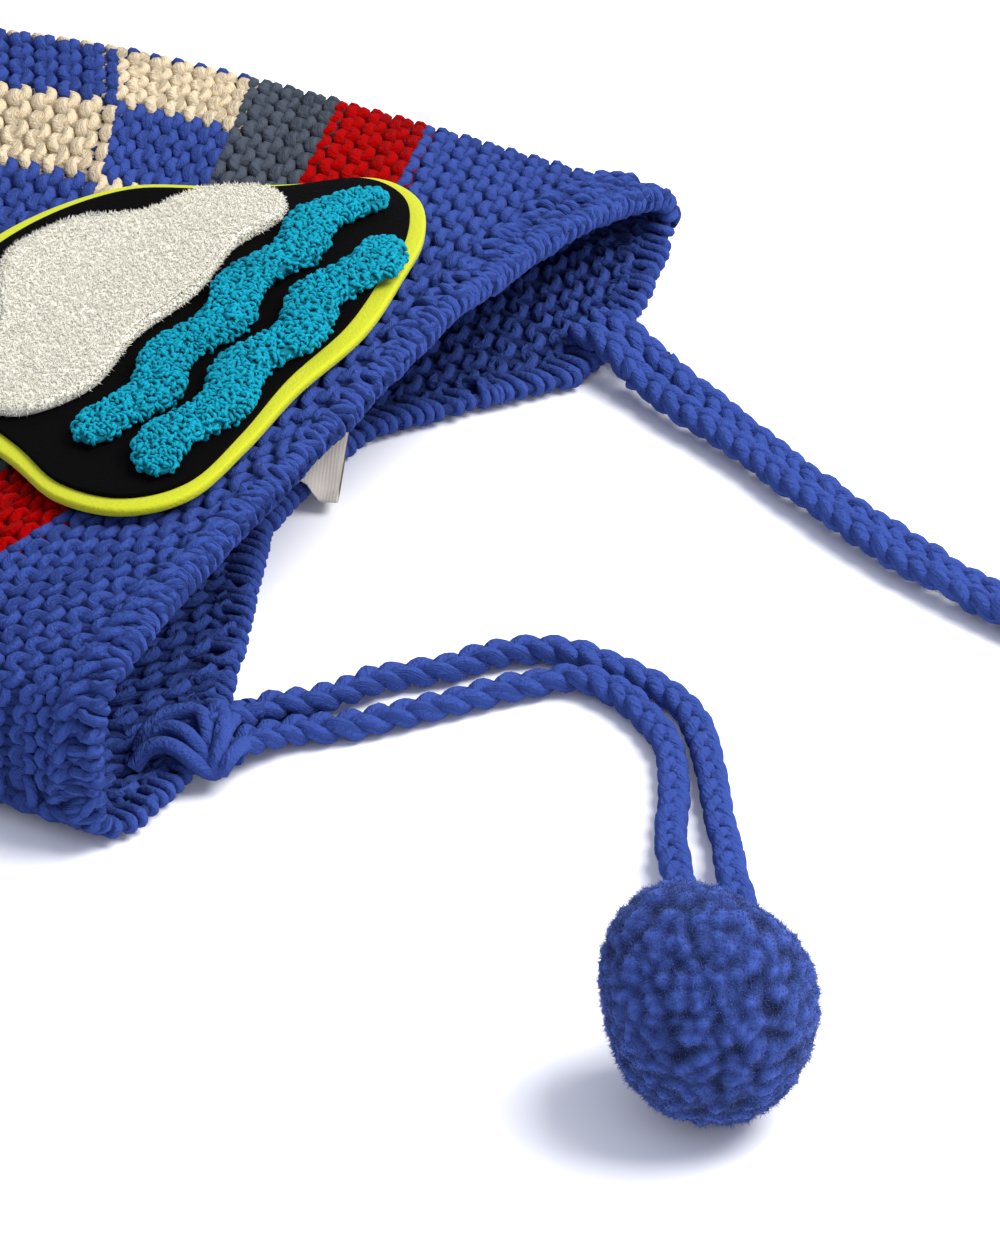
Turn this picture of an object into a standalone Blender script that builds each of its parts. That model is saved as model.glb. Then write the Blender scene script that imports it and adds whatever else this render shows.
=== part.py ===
"""A child's knitted beanie with ear flaps, tie cords and pompoms, lying on its back.

The hat lies flattened with its front up. +Z is up, +Y runs from the opening to the crown,
+X is the wearer's left. Sizes are in millimetres until a mesh is made. The knitted shape is
worked out first in a frame whose Y is 0 at the front rim, then moved so that the origin is
under the middle of the hat.
"""

import math

import bmesh
import bpy
import numpy as np

MM = 0.001
SEAM_GAP = 1.0

# The flattened hat
HALF_WIDTH = 113.0
LENGTH = 190.0
OUTLINE_POWER = 4.1
FOLD_RADIUS = 7.0
WALL = 4.6
RIM_SKEW = 5.6
MIDDLE_Y = 91.1

# How the front arches over the back: columns are y, height, power at -X and power at +X.
# A high power is boxy, with a steep side, and a low one is a long slope.
ARCH_AT_RIM = (0.0, 30.2, 6.2, 1.65)
ARCH_ON_BODY = (75.0, 22.8, 3.2, 1.85)
ARCH_BLEND = 40.0

# Knitted rings: columns are row counted from the crown, y at the middle, length along the
# outline from the crown to the fold, and the power of the ring's bow towards the opening.
RINGS = [
    (0, 190.0, 0.0, 2.0),
    (2, 180.2, 13.0, 2.0),
    (5, 165.3, 33.0, 2.0),
    (9, 145.4, 59.5, 1.9),
    (13, 125.5, 86.0, 1.8),
    (17, 105.5, 112.0, 1.7),
    (23, 82.5, 146.0, 1.5),
    (29, 59.5, 174.0, 1.5),
    (33, 41.5, 192.5, 1.5),
    (37, 24.0, 210.0, 1.5),
    (43, -2.7, 237.0, 1.5),
    (50, -33.8, 268.0, 1.5),
    (54, -51.6, 286.0, 1.5),
]
STITCHES = 72
ROW_STEP = 0.25

# The opening's edge on the back layer: columns are x and y. Flap tips are near x = 70.
BACK_EDGE = [
    (-113.0, -5.6),
    (-102.0, -9.1),
    (-85.0, -8.6),
    (-70.0, -5.0),
    (-46.0, 4.6),
    (-28.0, 12.8),
    (-14.0, 18.6),
    (4.0, 20.5),
    (24.0, 19.6),
    (33.0, 13.7),
    (45.0, 5.4),
    (58.0, -3.6),
    (70.0, -4.6),
    (88.0, -1.1),
    (104.0, 3.4),
    (113.0, 5.6),
]

# Depth of the edging band: columns are stitch round from the +X fold, and depth
BAND_DEPTH = [
    (0, 13.0),
    (4, 13.5),
    (9, 10.5),
    (14, 7.0),
    (18, 5.2),
    (24, 5.2),
    (29, 6.5),
    (33, 9.0),
    (36, 10.5),
    (39, 8.0),
    (69, 8.0),
    (72, 13.0),
]

# Places round the front, in stitches from the +X fold: close together round the folds
FRONT_STITCHES = [0, 0.55, 1.1, 1.7, 2.6, 4, 6, 8.5, 11, 14, 17, 20, 23, 26, 28.5, 31, 32.8, 33.9, 34.6, 35.3]
BODY_SHARES = [0.02, 0.06, 0.12, 0.19, 0.27, 0.35, 0.43, 0.51, 0.59, 0.67, 0.75, 0.83, 0.91, 1.0]
BAND_SHARES = [0.0, 0.35, 0.7, 1.0]

# The patch: felt base, backing layer and raised pile, each lying on the one below
FELT_THICK = 1.8
BACKING_THICK = 1.0
PILE_THICK = 3.2
LAYER_GAP = 0.5
FELT_OUTLINE = [
    (-67, 17), (-58, 8.5), (-40, 8), (-20, 9.5), (2, 9), (22, 13), (42, 20), (57, 30),
    (62, 42), (53, 53), (46, 66), (38, 81), (18, 90), (-8, 91), (-30, 82), (-46, 66), (-57, 46), (-66, 31),
]
BACKING_INSET = 3.4
PATCH_CENTRE = (0.0, 48.0)
CLOUD_OUTLINE = [
    (-46, 50), (-34, 43), (-16, 45), (2, 43), (20, 46), (35, 45), (43, 53), (38, 64),
    (26, 69), (18, 79), (2, 83), (-12, 77), (-22, 71), (-36, 69), (-45, 61),
]
CLOUD_CENTRE = (-1.0, 60.0)
# Wavy bars: columns are name, x at both ends, y of the middle line, rise of the line per mm
WAVES = [
    ("patch_wave_lower", -58.0, 30.0, 17.6, 0.02),
    ("patch_wave_upper", -52.0, 50.0, 31.5, 0.05),
]
WAVE_HALF_WIDTH = 4.6
WAVE_HEIGHT = 1.9
WAVE_LENGTH = 27.0

# The blank tag: a strip on the back layer whose free end hangs a little way over the opening's edge
TAG_END = (10.0, 18.2)
TAG_TURN = 24.0
TAG_WIDTH = 21.0
TAG_THICK = 1.2
TAG_HEIGHT = 7.0
TAG_FALL = 0.11
TAG_SHARES = [-1.0, -0.5, 0.0, 0.5, 1.0]
TAG_DISTANCES = [0.0, 2.0, 4.0, 6.0, 8.0, 11.0, 15.0, 20.0]

# Ties: columns are x, y and height of a cord's middle, from the knot to the pompom
CORD_DIAMETER = 5.0
CORD_POINT_STEP = 10.0
TIE_NEAR_OUTER = [
    (-68.9, -9.2, 5.6), (-65.5, -10.8, 5.4), (-62.5, -13.0, 5.0), (-59.0, -15.4, 4.6), (-53.5, -18.2, 4.0),
    (-47.0, -20.8, 3.4), (-41.9, -24.2, 2.8), (-37.3, -28.8, 2.7), (-31.6, -32.4, 2.7), (-26.5, -36.3, 2.7),
    (-22.9, -40.7, 2.7), (-21.2, -46.3, 2.7), (-21.2, -52.7, 2.7), (-21.8, -59.2, 2.7), (-23.3, -65.4, 2.7),
    (-26.3, -71.4, 2.7), (-31.5, -77.2, 2.7), (-38.6, -82.9, 2.7), (-45.7, -87.7, 2.7), (-52.7, -92.5, 2.7),
    (-59.6, -97.5, 3.2), (-67.2, -102.7, 4.6), (-84.0, -114.4, 6.4), (-93.0, -118.8, 8.8),
    (-101.0, -122.0, 11.0), (-105.9, -123.8, 12.6),
]
TIE_NEAR_INNER = [
    (-70.3, -14.4, 3.8), (-65.8, -17.4, 2.8), (-61.6, -22.1, 2.7), (-57.5, -26.1, 2.7), (-52.9, -29.8, 2.7),
    (-48.2, -33.1, 2.7), (-43.7, -36.5, 2.7), (-38.4, -40.2, 2.7), (-33.5, -44.3, 2.9), (-29.4, -48.3, 3.1),
    (-27.6, -53.1, 3.2), (-28.4, -58.3, 3.1), (-30.6, -63.9, 2.9), (-33.6, -69.3, 2.7), (-38.1, -74.4, 2.7),
    (-43.7, -78.8, 2.7), (-50.1, -82.4, 2.7), (-56.6, -85.6, 2.7), (-63.1, -88.9, 3.2), (-70.0, -93.5, 4.4),
    (-87.6, -105.4, 6.4), (-95.8, -110.6, 8.8), (-103.4, -115.2, 11.2), (-108.3, -118.0, 13.1),
]
TIE_FAR_OUTER = [
    (68.2, -14.6, 4.0), (66.8, -18.6, 3.2), (63.0, -27.0, 2.7), (57.8, -37.2, 2.7), (52.8, -47.6, 2.7),
    (47.5, -58.4, 2.7), (42.9, -69.0, 2.7), (38.9, -79.2, 2.7), (35.5, -88.9, 2.7), (32.7, -98.4, 2.7),
    (30.4, -108.0, 2.7), (28.6, -118.0, 2.7), (27.2, -128.0, 2.7), (26.2, -138.0, 2.7), (25.4, -148.0, 2.9),
    (24.8, -157.0, 4.2), (24.2, -166.0, 6.8), (23.2, -176.0, 10.2), (22.3, -184.6, 13.4),
]
TIE_FAR_INNER = [
    (61.6, -13.0, 4.8), (59.0, -18.6, 4.5), (55.6, -26.6, 4.3), (52.6, -35.2, 4.2), (48.0, -45.7, 4.2),
    (42.8, -56.6, 4.2), (38.2, -67.2, 4.2), (34.2, -77.4, 4.2), (30.8, -87.1, 4.2), (28.0, -96.6, 4.2),
    (25.6, -106.6, 3.8), (23.4, -117.0, 3.2), (21.6, -127.6, 2.7), (20.2, -138.0, 2.7), (19.0, -148.0, 2.9),
    (18.2, -157.0, 4.2), (17.4, -166.0, 6.8), (16.6, -176.0, 10.2), (16.7, -184.6, 13.4),
]
# Knots: columns are name, centre, half sizes and turn
KNOTS = [
    ("tie_knot_near", (-76.5, -10.6, 5.2), (5.6, 3.2, 4.8), 13.5),
    ("tie_knot_far", (65.8, -8.6, 5.2), (5.6, 3.2, 4.8), 3.0),
]
# Pompoms: columns are name, centre and half sizes
POMPOMS = [
    ("pompom_near", (-124.0, -129.0, 20.4), (19.2, 19.6, 20.2)),
    ("pompom_far", (19.5, -203.4, 20.4), (19.6, 19.2, 20.2)),
]

# Materials: colour, roughness
YARN_BLUE = ((0.060, 0.095, 0.380), 0.85)
FELT_YELLOW = ((0.85, 0.80, 0.05), 0.90)
FELT_BLACK = ((0.006, 0.005, 0.006), 0.90)
PLUSH_WHITE = ((0.80, 0.77, 0.72), 0.95)
CHENILLE_TEAL = ((0.0, 0.37, 0.50), 0.90)
TAPE_GREY = ((0.40, 0.39, 0.38), 0.60)


def clear_scene():
    for obj in list(bpy.data.objects):
        bpy.data.objects.remove(obj, do_unlink=True)


def material(name, look):
    colour, roughness = look
    made = bpy.data.materials.new(name)
    made.use_nodes = True
    shader = made.node_tree.nodes["Principled BSDF"]
    shader.inputs["Base Color"].default_value = (*colour, 1.0)
    shader.inputs["Roughness"].default_value = roughness
    shader.inputs["Metallic"].default_value = 0.0
    return made


def column(table, index):
    return np.array([row[index] for row in table], float)


def smooth_step(t):
    t = np.clip(t, 0.0, 1.0)
    return t * t * (3.0 - 2.0 * t)


def skin_height(x, y):
    """Heights of the upper and lower outer skins over a place in plan."""
    y = np.maximum(y, 0.0)
    across = np.abs(x) / HALF_WIDTH
    along = y / LENGTH
    share = (across**OUTLINE_POWER + along**OUTLINE_POWER) ** (1.0 / OUTLINE_POWER)
    share = np.clip(share, 1e-6, 1.0)
    to_edge = (1.0 - share) * np.hypot(x, y) / share
    on_body = smooth_step(y / ARCH_ON_BODY[0])
    _, height, power_minus, power_plus = [
        rim + (body - rim) * on_body for rim, body in zip(ARCH_AT_RIM, ARCH_ON_BODY)
    ]
    side = smooth_step((x + ARCH_BLEND) / (2.0 * ARCH_BLEND))
    power = power_minus + (power_plus - power_minus) * side
    arch = height * np.maximum(1.0 - share**power, 0.0) ** (1.0 / power)
    into_fold = np.clip(1.0 - to_edge / FOLD_RADIUS, 0.0, 1.0)
    rounded = FOLD_RADIUS * np.sqrt(1.0 - into_fold**2)
    upper = (arch**6 + rounded**6) ** (1.0 / 6.0)
    return FOLD_RADIUS + upper, FOLD_RADIUS - rounded


def outline_points():
    """The outline from the crown's middle to the +X fold and on past the rim, with its length."""
    turn = np.linspace(0.0, math.pi / 2.0, 1500)
    x = HALF_WIDTH * np.sin(turn) ** (2.0 / OUTLINE_POWER)
    y = LENGTH * np.maximum(np.cos(turn), 0.0) ** (2.0 / OUTLINE_POWER)
    x = np.append(x, HALF_WIDTH)
    y = np.append(y, -LENGTH / 4.0)
    length = np.concatenate([[0.0], np.cumsum(np.hypot(np.diff(x), np.diff(y)))])
    return x, y, length


def spaced(points, shares):
    """Points at shares of a line's length."""
    steps = np.linalg.norm(np.diff(points, axis=0), axis=1)
    length = np.concatenate([[0.0], np.cumsum(steps)])
    if length[-1] < 1e-9:
        return np.repeat(points[:1], len(shares), axis=0)
    at = np.asarray(shares) * length[-1]
    return np.stack([np.interp(at, length, points[:, axis]) for axis in range(3)], axis=1)


def knitted_ring(row, outline, front_shares, back_shares):
    """One ring of knitting: over the front from the +X fold to the -X fold, then back below."""
    rows = column(RINGS, 0)
    middle_y, run, bow = [np.interp(row, rows, column(RINGS, index)) for index in (1, 2, 3)]
    fold_x, fold_y = [np.interp(run, outline[2], outline[axis]) for axis in (0, 1)]
    across = np.sin(np.linspace(1.0, -1.0, 141) * math.pi / 2.0)
    x = fold_x * across
    y = middle_y + (fold_y - middle_y) * np.abs(across) ** bow
    upper, lower = skin_height(x, y)
    y = y + RIM_SKEW * x / HALF_WIDTH
    front = spaced(np.stack([x, y, upper], axis=1), front_shares)
    back = spaced(np.stack([x, y, lower], axis=1)[::-1], back_shares)
    return np.concatenate([front, back])


def knitted_grid():
    """Outer skin by row and by place round, and the places round in stitches."""
    half = STITCHES / 2
    front_shares = np.array(FRONT_STITCHES) / half
    stitches = np.concatenate([front_shares, 1.0 + front_shares]) * half
    rows = np.arange(RINGS[0][0], RINGS[-1][0] + ROW_STEP / 2, ROW_STEP)
    outline = outline_points()
    grid = np.array([knitted_ring(row, outline, front_shares, front_shares) for row in rows])
    return rows, stitches, grid


def cut_at_edge(rows, stitches, grid):
    """The length of each wale from the crown to the opening, along its own line."""
    lines = []
    for number, stitch in enumerate(stitches):
        wale = grid[:, number]
        if stitch <= STITCHES / 2:
            edge_y = RIM_SKEW * wale[:, 0] / HALF_WIDTH
        else:
            edge_y = np.interp(wale[:, 0], column(BACK_EDGE, 0), column(BACK_EDGE, 1))
        past = wale[:, 1] - edge_y
        last = int(np.argmax(past < 0.0))
        share = past[last - 1] / (past[last - 1] - past[last])
        end = wale[last - 1] + (wale[last] - wale[last - 1]) * share
        lines.append(np.concatenate([wale[:last], [end]]))
    return lines


def band_depths(stitches):
    return np.interp(stitches, column(BAND_DEPTH, 0), column(BAND_DEPTH, 1))


def wale_length(line):
    return np.linalg.norm(np.diff(line, axis=0), axis=1).sum()


def to_world(points):
    """From the knitting frame in millimetres to the object's frame in metres."""
    return (np.asarray(points) - (0.0, MIDDLE_Y, 0.0)) * MM


def mesh_object(name, mesh, look, collection):
    obj = bpy.data.objects.new(name, mesh)
    collection.objects.link(obj)
    mesh.materials.append(look)
    mesh.shade_smooth()
    mesh.set_sharp_from_angle(angle=math.radians(50))
    return obj


def add_wall(obj, thickness, offset):
    wall = obj.modifiers.new("wall", "SOLIDIFY")
    wall.thickness = thickness * MM
    wall.offset = offset
    wall.use_even_offset = True


def loft(name, sections, look, collection, closed, pole=None):
    """A skin through sections of equal counts, closed round or not, with a pole at its start."""
    shape = bmesh.new()
    rings = [[shape.verts.new(point) for point in to_world(section)] for section in sections]
    count = len(rings[0])
    last = count if closed else count - 1
    for before, after in zip(rings, rings[1:]):
        for i in range(last):
            j = (i + 1) % count
            shape.faces.new((before[i], after[i], after[j], before[j]))
    if pole is not None:
        top = shape.verts.new(to_world(pole))
        for i in range(last):
            shape.faces.new((top, rings[0][i], rings[0][(i + 1) % count]))
    mesh = bpy.data.meshes.new(name)
    shape.to_mesh(mesh)
    shape.free()
    return mesh_object(name, mesh, look, collection)


def knitted_pieces(collection, look):
    rows, stitches, grid = knitted_grid()
    lines = cut_at_edge(rows, stitches, grid)
    depths = band_depths(stitches)
    body_lines = []
    band_lines = []
    for line, depth in zip(lines, depths):
        length = wale_length(line)
        body_lines.append(spaced(line, np.array(BODY_SHARES) * (1.0 - (depth + SEAM_GAP) / length)))
        start = 1.0 - depth / length
        band_lines.append(spaced(line, start + np.array(BAND_SHARES) * (1.0 - start)))
    # The places run from +X to -X over the front, so their order is turned to face outwards.
    body_sections = np.array(body_lines).transpose(1, 0, 2)[:, ::-1]
    band_sections = np.array(band_lines).transpose(1, 0, 2)[:, ::-1]
    body = loft("knit_body", body_sections, look, collection, True, pole=lines[0][0])
    band = loft("edging_band", band_sections, look, collection, True)
    for obj in (body, band):
        add_wall(obj, WALL, -1.0)


def rounded_outline(points, centre, inset=0.0, parts=2):
    """A smooth closed outline through a few points, drawn in towards its centre by an inset."""
    corners = np.array(points, float)
    outline = []
    for index in range(len(corners)):
        before, start, end, after = [corners[(index + step) % len(corners)] for step in (-1, 0, 1, 2)]
        for part in range(parts):
            t = part / parts
            outline.append(
                0.5 * (2 * start + (end - before) * t + (2 * before - 5 * start + 4 * end - after) * t**2
                       + (3 * start - before - 3 * end + after) * t**3)
            )
    outward = np.array(outline) - centre
    reach = np.linalg.norm(outward, axis=1, keepdims=True)
    return np.array(centre) + outward * (1.0 - inset / reach)


def on_front(plan, lift):
    """Places over the hat's front skin, lifted square to it."""
    x, y = np.asarray(plan, float).T
    step = 0.5
    flat_y = y - RIM_SKEW * x / HALF_WIDTH
    height = skin_height(x, flat_y)[0]
    slope_x = (skin_height(x + step, flat_y)[0] - skin_height(x - step, flat_y)[0]) / (2 * step)
    slope_y = (skin_height(x, flat_y + step)[0] - skin_height(x, flat_y - step)[0]) / (2 * step)
    normal = np.stack([-slope_x, -slope_y, np.ones_like(x)], axis=1)
    normal /= np.linalg.norm(normal, axis=1, keepdims=True)
    return np.stack([x, y, height], axis=1) + normal * lift


def plate_on_front(name, outline, centre, lift, thickness, look, collection):
    shares = (0.2, 0.4, 0.6, 0.8, 1.0)
    sections = [on_front(np.array(centre) + (outline - centre) * share, lift) for share in shares]
    pole = on_front(np.array([centre]), lift)[0]
    plate = loft(name, sections, look, collection, True, pole=pole)
    add_wall(plate, thickness, 1.0)


def wavy_bar(name, start_x, end_x, middle_y, rise, lift, look, collection):
    ends = np.linspace(-1.0, 1.0, 17)
    sections = []
    for across in (-1.0, -0.5, 0.0, 0.5, 1.0):
        x = (start_x + end_x) / 2 + ends * (end_x - start_x) / 2
        half_width = WAVE_HALF_WIDTH * (1.0 - 0.5 * np.abs(ends) ** 10)
        y = middle_y + rise * (x - start_x) + WAVE_HEIGHT * np.sin(2 * math.pi * x / WAVE_LENGTH)
        sections.append(on_front(np.stack([x, y + across * half_width], axis=1), lift))
    bar = loft(name, sections[::-1], look, collection, False)
    add_wall(bar, PILE_THICK, 1.0)


def patch(collection, looks):
    felt = rounded_outline(FELT_OUTLINE, PATCH_CENTRE)
    backing = rounded_outline(FELT_OUTLINE, PATCH_CENTRE, inset=BACKING_INSET)
    cloud = rounded_outline(CLOUD_OUTLINE, CLOUD_CENTRE)
    backing_lift = LAYER_GAP + FELT_THICK + LAYER_GAP
    pile_lift = backing_lift + BACKING_THICK + LAYER_GAP
    plates = [
        ("patch_felt", felt, PATCH_CENTRE, LAYER_GAP, FELT_THICK),
        ("patch_backing", backing, PATCH_CENTRE, backing_lift, BACKING_THICK),
        ("patch_cloud", cloud, CLOUD_CENTRE, pile_lift, PILE_THICK),
    ]
    for name, outline, centre, lift, thickness in plates:
        plate_on_front(name, outline, centre, lift, thickness, looks[name], collection)
    for name, start_x, end_x, middle_y, rise in WAVES:
        wavy_bar(name, start_x, end_x, middle_y, rise, pile_lift, looks["patch_wave"], collection)


def back_tag(collection, look):
    """The tag lies level inside the hat, and bends down past the edge."""
    turn = math.radians(TAG_TURN)
    distances = np.array(TAG_DISTANCES)
    sections = []
    for share in TAG_SHARES:
        side = share * TAG_WIDTH / 2
        x = TAG_END[0] + side * math.cos(turn) - distances * math.sin(turn)
        y = TAG_END[1] + side * math.sin(turn) + distances * math.cos(turn)
        past_edge = np.maximum(np.interp(x, column(BACK_EDGE, 0), column(BACK_EDGE, 1)) - y, 0.0)
        sections.append(np.stack([x, y, TAG_HEIGHT - TAG_FALL * past_edge**2], axis=1))
    tag = loft("back_tag", sections, look, collection, False)
    add_wall(tag, TAG_THICK, 0.0)


def smooth_route(points, step):
    """A smooth curve through a route's points, with a point about every step."""
    points = np.array(points, float)
    ends = np.concatenate([[2 * points[0] - points[1]], points, [2 * points[-1] - points[-2]]])
    curve = []
    for before, start, end, after in zip(ends, ends[1:], ends[2:], ends[3:]):
        for t in np.linspace(0.0, 1.0, 8, endpoint=False):
            curve.append(
                0.5 * (2 * start + (end - before) * t + (2 * before - 5 * start + 4 * end - after) * t**2
                       + (3 * start - before - 3 * end + after) * t**3)
            )
    curve = np.array(curve + [points[-1]])
    count = int(round(wale_length(curve) / step))
    return spaced(curve, np.linspace(0.0, 1.0, count + 1))


def tie_cord(name, route, look, collection):
    data = bpy.data.curves.new(name, "CURVE")
    data.dimensions = "3D"
    data.bevel_depth = CORD_DIAMETER / 2 * MM
    data.bevel_resolution = 2
    data.use_fill_caps = True
    spline = data.splines.new("POLY")
    points = to_world(smooth_route(route, CORD_POINT_STEP))
    spline.points.add(len(points) - 1)
    for place, point in zip(spline.points, points):
        place.co = (*point, 1.0)
    data.materials.append(look)
    collection.objects.link(bpy.data.objects.new(name, data))


def rounded_lump(name, centre, half_sizes, turn, segments, look, collection):
    shape = bmesh.new()
    bmesh.ops.create_uvsphere(shape, u_segments=segments, v_segments=segments * 2 // 3, radius=1.0)
    bmesh.ops.scale(shape, vec=[size * MM for size in half_sizes], verts=shape.verts)
    mesh = bpy.data.meshes.new(name)
    shape.to_mesh(mesh)
    shape.free()
    lump = mesh_object(name, mesh, look, collection)
    lump.location = to_world(centre)
    lump.rotation_euler = (0.0, 0.0, math.radians(turn))


def main():
    clear_scene()
    hat = bpy.data.collections.new("knitted_beanie")
    bpy.context.scene.collection.children.link(hat)
    yarn = material("blue_yarn", YARN_BLUE)
    looks = {
        "patch_felt": material("yellow_felt", FELT_YELLOW),
        "patch_backing": material("black_felt", FELT_BLACK),
        "patch_cloud": material("white_plush", PLUSH_WHITE),
        "patch_wave": material("teal_chenille", CHENILLE_TEAL),
    }
    knitted_pieces(hat, yarn)
    patch(hat, looks)
    back_tag(hat, material("grey_tape", TAPE_GREY))
    ties = [
        ("tie_near_outer", TIE_NEAR_OUTER),
        ("tie_near_inner", TIE_NEAR_INNER),
        ("tie_far_outer", TIE_FAR_OUTER),
        ("tie_far_inner", TIE_FAR_INNER),
    ]
    for name, route in ties:
        tie_cord(name, route, yarn, hat)
    for name, centre, half_sizes, turn in KNOTS:
        rounded_lump(name, centre, half_sizes, turn, 14, yarn, hat)
    for name, centre, half_sizes in POMPOMS:
        rounded_lump(name, centre, half_sizes, 0.0, 24, yarn, hat)


main()
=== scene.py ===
"""The looks of a child's knitted ear-flap beanie that lies on its back on a pale table.

The hat's shape repeats the one that its solids were made from: sizes are in millimetres, in a
frame whose Y is 0 at the front rim, until to_world moves and scales them. The knitting itself
is one yarn that follows each row in loops, purl side out.
"""

import math

import bmesh
import bpy
import mathutils
import numpy as np
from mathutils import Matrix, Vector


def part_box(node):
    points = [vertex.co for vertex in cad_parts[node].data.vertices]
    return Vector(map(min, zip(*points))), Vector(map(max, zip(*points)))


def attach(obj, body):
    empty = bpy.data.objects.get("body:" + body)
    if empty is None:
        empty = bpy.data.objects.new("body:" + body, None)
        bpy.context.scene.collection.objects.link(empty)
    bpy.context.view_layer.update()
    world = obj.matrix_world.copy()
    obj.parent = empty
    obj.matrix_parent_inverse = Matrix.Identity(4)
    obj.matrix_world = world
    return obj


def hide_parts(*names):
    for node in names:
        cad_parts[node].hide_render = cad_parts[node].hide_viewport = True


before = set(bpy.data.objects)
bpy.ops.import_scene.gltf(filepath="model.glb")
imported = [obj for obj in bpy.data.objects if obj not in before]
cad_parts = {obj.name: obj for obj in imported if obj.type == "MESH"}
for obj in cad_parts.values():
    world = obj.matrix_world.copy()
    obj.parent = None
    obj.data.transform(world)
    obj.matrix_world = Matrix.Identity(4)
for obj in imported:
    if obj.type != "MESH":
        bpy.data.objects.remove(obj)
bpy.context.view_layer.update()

MM = 0.001
MIDDLE_Y = 91.1

# The flattened hat, as its solids have it
HALF_WIDTH = 113.0
LENGTH = 190.0
OUTLINE_POWER = 4.1
FOLD_RADIUS = 7.0
WALL = 4.6
RIM_SKEW = 5.6
ARCH_AT_RIM = (0.0, 30.2, 6.2, 1.65)
ARCH_ON_BODY = (75.0, 22.8, 3.2, 1.85)
ARCH_BLEND = 40.0
# Columns: row from the crown, y at the middle, outline length to the +X fold and to the -X fold
RINGS = [
    (0, 190.0, 0.0, 0.0),
    (2, 180.2, 13.0, 12.0),
    (5, 165.3, 34.0, 30.0),
    (9, 145.4, 62.0, 54.0),
    (13, 125.5, 91.0, 77.0),
    (17, 106.0, 117.5, 99.0),
    (23, 78.0, 147.5, 132.0),
    (29, 59.5, 176.0, 163.0),
    (33, 43.5, 195.0, 186.5),
    (37, 24.3, 214.0, 213.0),
    (43, -6.0, 243.5, 252.5),
    (50, -38.0, 276.0, 289.0),
    (56, -64.0, 300.0, 316.0),
]
BOW_PLUS = 1.55
BOW_MINUS = 2.2
STITCHES = 72
# How far the front's stitches shift towards -X, as three waves over the front: on the body, at the rim
SPREAD_BODY = (0.032, 0.050, -0.018)
SPREAD_RIM = (0.130, 0.000, 0.000)
SPREAD_ROWS = (29, 43)
EVEN_ROWS = (8, 17)
# Columns: x and y of the opening's edge on the back layer
BACK_EDGE = [
    (-113.0, -5.6),
    (-102.0, -9.1),
    (-85.0, -8.6),
    (-70.0, -5.0),
    (-46.0, 4.6),
    (-28.0, 12.8),
    (-14.0, 18.6),
    (4.0, 20.5),
    (24.0, 19.6),
    (33.0, 13.7),
    (45.0, 5.4),
    (58.0, -3.6),
    (70.0, -4.6),
    (88.0, -1.1),
    (104.0, 3.4),
    (113.0, 5.6),
]
# Columns: share round the opening, 1 at the -X fold and 2 back at the +X fold, and the band's depth
BAND_DEPTH = [
    (0.0, 13.0),
    (0.11, 13.5),
    (0.25, 10.5),
    (0.39, 7.0),
    (0.5, 5.2),
    (0.67, 5.2),
    (0.81, 6.5),
    (0.92, 9.0),
    (1.0, 10.5),
    (1.08, 8.0),
    (1.92, 8.0),
    (2.0, 13.0),
]

# The patch: felt base, backing layer and raised pile, each lying on the one below
FELT_THICK = 1.8
FELT_EDGE = 0.7
BACKING_THICK = 1.0
BACKING_EDGE = 0.4
PILE_THICK = 3.2
CLOUD_BASE = 0.75 * PILE_THICK
CLOUD_EDGE = 1.1
BAR_HALF_HEIGHT = 0.42 * PILE_THICK
LAYER_GAP = 0.5
FELT_OUTLINE = [
    (-67, 17), (-58, 8.5), (-40, 8), (-20, 9.5), (2, 9), (22, 13), (42, 20), (57, 30),
    (62, 42), (53, 53), (46, 66), (38, 81), (18, 90), (-8, 91), (-30, 82), (-46, 66), (-57, 46), (-66, 31),
]
BACKING_INSET = 3.4
PATCH_CENTRE = (0.0, 48.0)
CLOUD_OUTLINE = [
    (-46, 50), (-34, 43), (-16, 45), (2, 43), (20, 46), (35, 45), (43, 53), (38, 64),
    (26, 69), (18, 79), (2, 83), (-12, 77), (-22, 71), (-36, 69), (-45, 61),
]
CLOUD_CENTRE = (-1.0, 60.0)
# Wavy bars: name, x at both ends, y of the middle line, rise of the line per mm
WAVES = [
    ("patch_wave_lower", -58.0, 30.0, 17.6, 0.02),
    ("patch_wave_upper", -52.0, 50.0, 31.5, 0.05),
]
WAVE_HALF_WIDTH = 4.6
WAVE_HEIGHT = 1.9
WAVE_LENGTH = 27.0

# The edging's ribs, in stitches from the +X fold. Columns: start, end, pitch, yarn radius,
# reach outside as a share of the band, and reach inside
EDGE_RIBS = [
    (0.0, 1.6, 3.3, 1.90, 0.60, 5.0),
    (1.6, 6.0, 2.8, 1.50, 0.45, 4.5),
    (6.0, 9.0, 2.4, 1.20, 0.35, 4.0),
    (9.0, 30.0, 2.5, 1.25, 0.40, 4.0),
    (30.0, 34.0, 2.7, 1.30, 0.45, 5.0),
    (34.0, 50.0, 3.1, 2.10, 0.90, 8.0),
    (50.0, 61.0, 2.6, 1.90, 0.90, 8.0),
    (61.0, 66.0, 2.8, 2.00, 0.90, 8.0),
    (66.0, 72.0, 3.4, 2.40, 0.90, 8.5),
]
EDGE_PROUD = 0.8
BACK_LIFT = 0.6
EDGE_DRAW_IN = 0.9
# How deep the ribs' ends dive under the knitting
RIB_DIVE = 1.69
# The filled roll inside the ribs, which closes the edge between them
ROLL_RADIUS = 2.75
ROLL_DRAW_IN = 2.0
ROLL_PITCH = 2.5
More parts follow.
